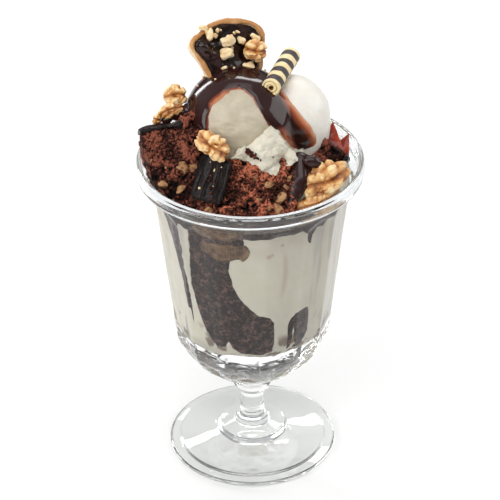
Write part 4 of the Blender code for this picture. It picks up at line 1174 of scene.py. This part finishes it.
add_piece("tart_chocolate_layer", filling_points, filling_quads, tart_chocolate, "tart_chocolate", ("tart_filling",))

# %% [markdown]
# ## The rolled wafer
#
# The wafer is a sheet rolled up: its end shows a spiral, and dark stripes wind round it.  Rings
# of points run along the outside, over the rounded lip and down into the bore; on the end the
# surface is grooved along an Archimedes spiral, radius growing with angle.

# %% Wafer
WAFER_START = np.array([9.4, -8.0, 198.4])
WAFER_ALONG = unit((0.285, 0.957, -0.045))
WAFER_LENGTH, WAFER_RADIUS, WAFER_BORE, WAFER_WALL = 33.0, 4.35, 1.0, 1.6
wafer_side = unit(np.cross(WAFER_ALONG, (0.0, 0.0, 1.0)))
wafer_up = np.cross(wafer_side, WAFER_ALONG)
end_radii = np.concatenate([np.linspace(WAFER_BORE, WAFER_RADIUS - 0.35, 26), [WAFER_RADIUS - 0.12]])
side_steps = np.linspace(0.35, WAFER_LENGTH - 0.35, 150)
bore_steps = np.linspace(WAFER_LENGTH - 0.4, 0.4, 8)
ring_radius = np.concatenate([end_radii, np.full(150, WAFER_RADIUS), end_radii[::-1], np.full(8, WAFER_BORE)])
ring_place = np.concatenate([np.zeros(27), side_steps, np.full(27, WAFER_LENGTH), bore_steps])
ring_place[26], ring_place[27 + 150] = 0.12, WAFER_LENGTH - 0.12
WAFER_COLUMNS = 120
around, wafer_r = np.meshgrid(np.arange(WAFER_COLUMNS) * 2 * math.pi / WAFER_COLUMNS, ring_radius)
wafer_s = np.repeat(ring_place[:, None], WAFER_COLUMNS, axis=1)
spiral = (wafer_r - WAFER_BORE) / WAFER_WALL - around / (2 * math.pi)
groove = np.exp(-((spiral - np.round(spiral)) * WAFER_WALL / 0.16) ** 2) * (wafer_r < WAFER_RADIUS - 0.2) \
    * (wafer_r > WAFER_BORE + 0.05)
at_near_end = wafer_s < 0.2
at_far_end = wafer_s > WAFER_LENGTH - 0.2
wafer_s = wafer_s + 0.75 * groove * at_near_end - 0.75 * groove * at_far_end
on_side = (wafer_r > WAFER_RADIUS - 0.05)
# The outer sheet's edge makes a small step that runs along the roll.
step = -0.28 * (around / (2 * math.pi)) * on_side
flat_points = np.stack([wafer_r * np.cos(around), wafer_r * np.sin(around), wafer_s], axis=-1).reshape(-1, 3)
uneven = 0.12 * layered_noise(flat_points, 3.0, 61, 3).reshape(wafer_r.shape) * (wafer_r > 2.0)
wafer_r = wafer_r + step + uneven
wafer_points = (WAFER_START + wafer_s[..., None] * WAFER_ALONG + (wafer_r * np.cos(around))[..., None] * wafer_side
                + (wafer_r * np.sin(around))[..., None] * wafer_up).reshape(-1, 3)
ring_count = len(ring_radius)
wafer_index = np.arange(ring_count * WAFER_COLUMNS).reshape(ring_count, WAFER_COLUMNS)
after_row, after_col = np.roll(wafer_index, -1, axis=0), np.roll(wafer_index, -1, axis=1)
wafer_quads = np.stack([wafer_index, after_col, np.roll(after_col, -1, axis=0), after_row], axis=-1).reshape(-1, 4)
stripe_phase = (wafer_s + 0.6) / 8.4 + around / (2 * math.pi) * 0.22
wobble = 0.05 * soft_noise(flat_points, 2.0, 62).reshape(wafer_r.shape)
stripe = smooth_step(0.29, 0.23, np.abs((stripe_phase + wobble) % 1.0 - 0.5)) * smooth_step(0.4, 0.9, wafer_s)
spiral_gaps_painted_shade = groove * (at_near_end | at_far_end)
wafer_finish = finish("striped_wafer", Roughness=0.55, Specular_IOR_Level=0.35)
baked_tone = mixed(wafer_finish, spread(wafer_finish, grain(wafer_finish, 1.5, detail=4.0), 0.35, 0.7),
                   (0.84, 0.70, 0.42), (0.77, 0.58, 0.28))
striped = mixed(wafer_finish, own_value(wafer_finish, "stripe"), baked_tone, (0.050, 0.038, 0.041))
# Painted shade: the bore and the spiral gaps on the ends are coloured brown.
join(wafer_finish, mixed(wafer_finish, own_value(wafer_finish, "groove"), striped, (0.30, 0.13, 0.035)),
     shader_of(wafer_finish).inputs["Base Color"])
join(wafer_finish, relief(wafer_finish, grain(wafer_finish, 0.5, detail=3.0), 0.06), shader_of(wafer_finish).inputs["Normal"])
bore_painted_shade = (wafer_r.reshape(-1) < WAFER_BORE + 0.15)
add_piece("wafer_roll", wafer_points, wafer_quads, wafer_finish, "striped_wafer", ("rolled_wafer",),
          stripe=stripe.reshape(-1), groove=np.maximum(0.5 * spiral_gaps_painted_shade.reshape(-1), bore_painted_shade))

# %% [markdown]
# ## Flakes, pools and drips of sauce
#
# Two pointed flakes of set sauce stand by the small brownie: thin plates whose outline narrows
# to a point, see-through enough to look red.  Loose sauce gathers in the gaps between the
# pieces.  A pool is a rounded body like a scoop, drawn out along a line and smoothed.

# %% Set flakes
set_sauce = sauce_finish("set_sauce", (0.50, 0.060, 0.014), (0.30, 0.028, 0.009), (0.10, 0.012, 0.007), 0.15)


def flake(name, base, tip, width, seed, stands_for):
    """A pointed plate: half its width at each height is a curve that is widest at the foot,
    and it bends a little backwards.  Its thickness is stored for the colour."""
    base, tip = np.array(base), np.array(tip)
    along = tip - base
    across = unit(np.cross(along, (0.0, -0.83, 0.55)))
    out = unit(np.cross(across, along))
    box, quads = box_grid((24, 48, 3))
    up = (box[:, 1] + 1.0) / 2.0
    half = 0.5 * width * (1.0 - up ** 1.15) + 0.12
    bend = 0.7 * np.sin(up * 2.6 + seed) * up
    plate = (0.62 - 0.35 * up) * box[:, 2] * (1.0 - 0.5 * np.abs(box[:, 0]) ** 3)
    points = (base + up[:, None] * along + (half * box[:, 0])[:, None] * across
              + (plate + bend + 0.35 * soft_noise(np.stack([box[:, 0] * 2, up * 6, up * 0 + seed], axis=1), 1.5, seed))[:, None] * out)
    shade = np.clip(0.25 + 0.6 * (1 - up) * (1 - np.abs(box[:, 0])) + 0.3 * soft_noise(points, 2.5, seed), 0.0, 1.0)
    return add_piece(name, points, quads, set_sauce, "chocolate_sauce", stands_for, thickness=shade)


flake("sauce_flake_left", (35.6, 0.5, 157.6), (37.5, 10.0, 170.3), 14.5, 81, ("set_sauce_left",))
flake("sauce_flake_right", (39.4, 2.5, 155.6), (44.6, 9.6, 164.2), 10.5, 82, ("set_sauce_right",))


# %% Pools and drips
def pool(name, places, radii, seed, grid=(90, 120), material=None, uneven=0.6):
    """Sauce gathered along a line: balls at a few places are blended.  From the middle, the
    surface is found by stepping outwards until the sum of the balls' pulls falls below one."""
    places, radii = np.array(places, float), np.array(radii, float)
    middle = places[len(places) // 2]
    d, quads = ball_grid(*grid)
    reach = np.full(len(d), 0.5)
    for step in np.concatenate([np.full(60, 0.6), np.full(6, 0.1)]):
        trial = middle + d * (reach + step)[:, None]
        pull = sum((r / np.maximum(np.linalg.norm(trial - p, axis=1), 1e-6)) ** 4 for p, r in zip(places, radii))
        reach = np.where(pull > 1.0, reach + step, reach)
    reach = reach + uneven * soft_noise(d * reach[:, None], 4.0, seed)
    points = keep_inside_glass(middle + d * reach[:, None])
    return add_piece(name, points, quads, material or chocolate_sauce, "chocolate_sauce", thickness=np.ones(len(points)))


def at_lean(across, rise, near):
    """A place given on the leaning plane, in millimetres, with its nearness to the front."""
    return from_lean(np.array([across]), np.array([rise]), np.array([near]))[0]


pool("sauce_pool_right", [at_lean(22.5, 129.0, 109.0), at_lean(21.5, 125.0, 109.5),
                          at_lean(21.5, 120.5, 110.5), at_lean(19.8, 117.0, 111.5), at_lean(18.4, 113.5, 112.5),
                          at_lean(17.2, 110.5, 113.4)], (4.6, 4.8, 4.4, 3.8, 3.0, 2.4), 91)
pool("sauce_bead_right", [at_lean(25.0, 129.2, 114.2), at_lean(27.4, 129.0, 114.0), at_lean(29.2, 127.8, 113.0)],
     (2.3, 2.5, 1.9), 92, grid=(50, 70))
pool("sauce_pool_behind", [at_lean(23.0, 126.0, 108.0), at_lean(26.0, 122.5, 108.5)], (4.0, 4.0), 96)
pool("sauce_drip_left", [at_lean(-21.4, 151.5, 112.0), at_lean(-22.0, 146.5, 112.5), at_lean(-21.0, 140.5, 114.0),
                         at_lean(-20.0, 136.5, 114.5)], (2.4, 2.7, 2.6, 2.0), 93)
pool("sauce_drip_left_outer", [at_lean(-24.0, 154.8, 106.0), at_lean(-26.6, 150.0, 110.5), at_lean(-30.5, 147.8, 111.5)],
     (1.7, 1.7, 1.3), 94)
pool("sauce_under_walnuts", [(-37.0, -5.0, 181.2), (-32.0, -4.2, 183.4), (-27.0, -4.0, 185.5)], (2.4, 2.8, 3.0), 95)

# %% [markdown]
# ## Crumbs and nut bits
#
# Chopped walnut lies on the tart and the sauce, and bits of nut are baked into the brownies.
# Each bit is a small box grid made lumpy, and all bits of one kind are joined into one mesh by
# adding their arrays, with the face numbers shifted by the points before them.

# %% Bits
def bits(name, list_of_bits, material, slot, seed, cells=5, jag=0.30):
    """Many lumps as one piece.  Each is (place, size across, flatness): a rounded cube, turned
    at random and pushed in and out by noise."""
    rng = np.random.default_rng(seed)
    box, quads = box_grid((cells, cells, cells))
    shell = rounded(box, 3.2)
    points, faces, folds = [], [], []
    for index, (place, size, flat) in enumerate(list_of_bits):
        turn, _ = np.linalg.qr(rng.normal(size=(3, 3)))
        lump = shell * (size / 2.0) * np.array([1.0, rng.uniform(0.65, 0.95), flat])
        bump = jag * size * 0.5 * (layered_noise(shell + 9.0 * index, 0.9, seed, 2))
        lump = lump * (1.0 + bump / (size / 2.0))[:, None]
        inside = keep_inside_glass(np.array(place, float)[None], 0.35 + 0.5 * size)[0] if place[2] < 175.0 else np.array(place)
        points.append(inside + lump @ turn)
        faces.append(quads + index * len(box))
        folds.append(np.clip(0.8 + 0.5 * soft_noise(shell + 9.0 * index, 0.7, seed + 1), 0.0, 1.0))
    return add_piece(name, np.vstack(points), np.vstack(faces), material, slot, fold=np.concatenate(folds))


def on_tart(across, high, out=0.6):
    """A place on the tart's face, in millimetres from its middle."""
    return TART_CENTRE + across * TART_ACROSS + high * TART_HIGH + (out - 1.0) * TART_FACE


pale_nut = finish("chopped_walnut", Roughness=0.6, Subsurface_Weight=0.1, Subsurface_Scale=0.001)
nut_tone = colours(pale_nut, own_value(pale_nut, "fold"), [(0.2, (0.50, 0.26, 0.09)), (0.6, (0.74, 0.53, 0.27)),
                                                          (1.0, (0.86, 0.71, 0.46))])
join(pale_nut, mixed(pale_nut, spread(pale_nut, grain(pale_nut, 1.3, detail=4.0), 0.5, 0.75, 0.0, 0.6), nut_tone,
                     (0.55, 0.30, 0.11)), shader_of(pale_nut).inputs["Base Color"])
join(pale_nut, relief(pale_nut, grain(pale_nut, 0.5, detail=3.0), 0.12), shader_of(pale_nut).inputs["Normal"])

TART_BITS = [(-0.6, 7.0, 6.6, 0.8), (-1.0, 1.4, 5.6, 0.8), (-9.4, 9.6, 5.0, 0.6), (-12.2, 12.6, 4.2, 0.5),
             (-6.2, 9.2, 2.4, 0.7), (6.0, 7.2, 4.2, 0.6), (-2.2, -4.9, 2.4, 0.6), (9.4, -5.2, 5.8, 0.8), (-5.2, 11.6, 2.2, 0.6),
             (4.2, 11.2, 2.0, 0.6), (12.6, 9.0, 4.4, 0.6), (2.8, 10.6, 1.6, 0.7), (-3.6, 11.8, 1.2, 0.7),
             (1.8, 4.2, 1.3, 0.7), (-8.0, 3.2, 1.1, 0.7), (9.4, 3.0, 1.2, 0.7), (-10.8, 5.6, 0.9, 0.7)]
bits("chopped_walnut_on_tart", [(on_tart(a, h, 0.7 + s * 0.25), s, f) for a, h, s, f in TART_BITS], pale_nut, "walnut", 101,
     cells=8)


def on_sauce(across, rise, out=0.6):
    """The point of the sauce skin nearest to a place on the leaning plane, a little raised."""
    seen = sauce_near > 92.0
    gap = (sauce_across - across) ** 2 + (sauce_rise - rise) ** 2 + np.where(seen, 0.0, 1e6)
    index = int(np.argmin(gap))
    return sauce_points[index] + sauce_directions[index] * out


SAUCE_BITS = [(-11.6, 172.8, 3.0, 0.7), (-17.2, 169.0, 2.2, 0.7), (-19.0, 166.6, 1.4, 0.7),
              (5.0, 172.4, 1.2, 0.7), (8.6, 172.0, 1.3, 0.7), (-6.0, 170.0, 1.0, 0.7), (-14.0, 165.0, 0.9, 0.7),
              (9.8, 169.0, 0.9, 0.8), (-22.0, 163.0, 1.0, 0.8)]
bits("chopped_walnut_on_sauce", [(on_sauce(a, r, s * 0.25), s, f) for a, r, s, f in SAUCE_BITS], pale_nut, "walnut", 102,
     cells=8)


def on_front(centre, axes, size, across, high, out=-0.6):
    """A place on the front face of a block, in millimetres from the middle of that face."""
    return np.array(centre) + across * axes[0] + high * axes[1] + (size[2] / 2.0 + out) * axes[2]


FRONT_CENTRE_CAKE, FRONT_AXES, FRONT_SIZE = np.array([-1.5, -27.6, 159.6]), tilted(8.0, -2.0), (42.0, 25.0, 15.0)
baked_nut = crumb_finish("baked_walnut", (0.55, 0.34, 0.17), (0.36, 0.19, 0.09), (0.12, 0.05, 0.025), 2.4, 0.1, 0.6)
LEFT_BITS = [(3.4, -3.4, 5.6), (8.6, -3.8, 4.6), (1.0, -12.0, 4.6), (-6.6, -8.4, 4.4), (11.0, -12.4, 3.4),
             (-9.2, 2.2, 2.6), (4.0, 6.8, 2.4), (9.6, 4.4, 2.2), (-3.2, -1.6, 2.2), (-11.0, -13.0, 3.2)]
FRONT_BITS = [(9.2, 0.6, 4.4), (14.0, -5.6, 5.2), (12.2, -10.4, 5.6), (3.0, 3.6, 2.6), (18.2, 3.0, 3.0),
              (4.2, -6.4, 3.0), (-1.6, -1.2, 2.2), (8.4, -9.8, 3.2), (-18.6, -10.4, 4.6), (16.4, -1.0, 2.4)]
bits("walnut_in_brownies",
     [(on_front(LEFT_CENTRE, LEFT_AXES, LEFT_SIZE, a, h), s, 0.6) for a, h, s in LEFT_BITS]
     + [(on_front(FRONT_CENTRE_CAKE, FRONT_AXES, FRONT_SIZE, a, h), s, 0.6) for a, h, s in FRONT_BITS],
     baked_nut, "walnut", 103, cells=8)

slab_bits = [(1.4, 4.4, 1.3), (0.0, 1.6, 0.9), (-3.6, -5.0, 1.2), (4.4, 6.6, 0.7), (-1.8, 7.4, 0.7), (3.0, -2.4, 0.6)]
bits("nut_crumbs_on_icing", [(on_front(SLAB_PLACE, SLAB_AXES, SLAB_SIZE, a, h, 0.2), s, 0.6) for a, h, s in slab_bits],
     pale_nut, "walnut", 104, cells=5)

# %% Loose cake crumbs
loose = np.random.default_rng(105)
crumb_places = []
for centre, axes, size, count in ((LEFT_CENTRE, LEFT_AXES, LEFT_SIZE, 70), (FRONT_CENTRE_CAKE, FRONT_AXES, FRONT_SIZE, 90)):
    for across, high in zip(loose.uniform(-0.42, 0.42, count) * size[0], loose.uniform(-0.42, 0.42, count) * size[1]):
        crumb_places.append((on_front(centre, axes, size, across, high, -0.1), loose.uniform(0.7, 2.0), 0.8))


def on_torn(across, rise, out=0.2):
    """The point of the torn cream's front nearest to a place on the leaning plane."""
    seen = torn_box[:, 2] > 0.99
    gap = (torn_across - across) ** 2 + (torn_rise - rise) ** 2 + np.where(seen, 0.0, 1e6)
    index = int(np.argmin(gap))
    return from_lean(torn_across[index:index + 1], torn_rise[index:index + 1], torn_near[index:index + 1] + out)[0]


torn_bits = [(on_torn(a, r), s, f) for a, r, s, f in
             ((-1.0, 134.0, 2.3, 0.5), (-0.2, 132.9, 2.4, 0.5), (0.9, 131.9, 2.4, 0.5), (2.2, 131.0, 2.1, 0.5),
              (3.4, 130.2, 1.9, 0.5), (-1.6, 133.0, 1.2, 0.6), (2.6, 132.2, 1.0, 0.6), (4.6, 129.6, 1.0, 0.6),
              (-5.8, 129.9, 1.6, 0.6), (-3.4, 129.2, 1.4, 0.6), (14.4, 128.0, 1.2, 0.6), (10.0, 130.8, 0.7, 0.6))]


def crumb_bits(name, list_of_bits, seed):
    """Cake crumbs: as the nut bits are, in the crumb finish, with the lift it reads."""
    made = bits(name, list_of_bits, open_crumb, "brownie_crumb", seed, cells=4, jag=0.5)
    lift = made.data.attributes.new("lift", "FLOAT", "POINT")
    lift.data.foreach_set("value", np.random.default_rng(seed).uniform(0.3, 0.9, len(made.data.vertices)).astype(np.float32))
    return made


crumb_bits("loose_cake_crumbs", crumb_places, 106)
crumb_bits("cake_crumbs_on_cream", torn_bits, 107)
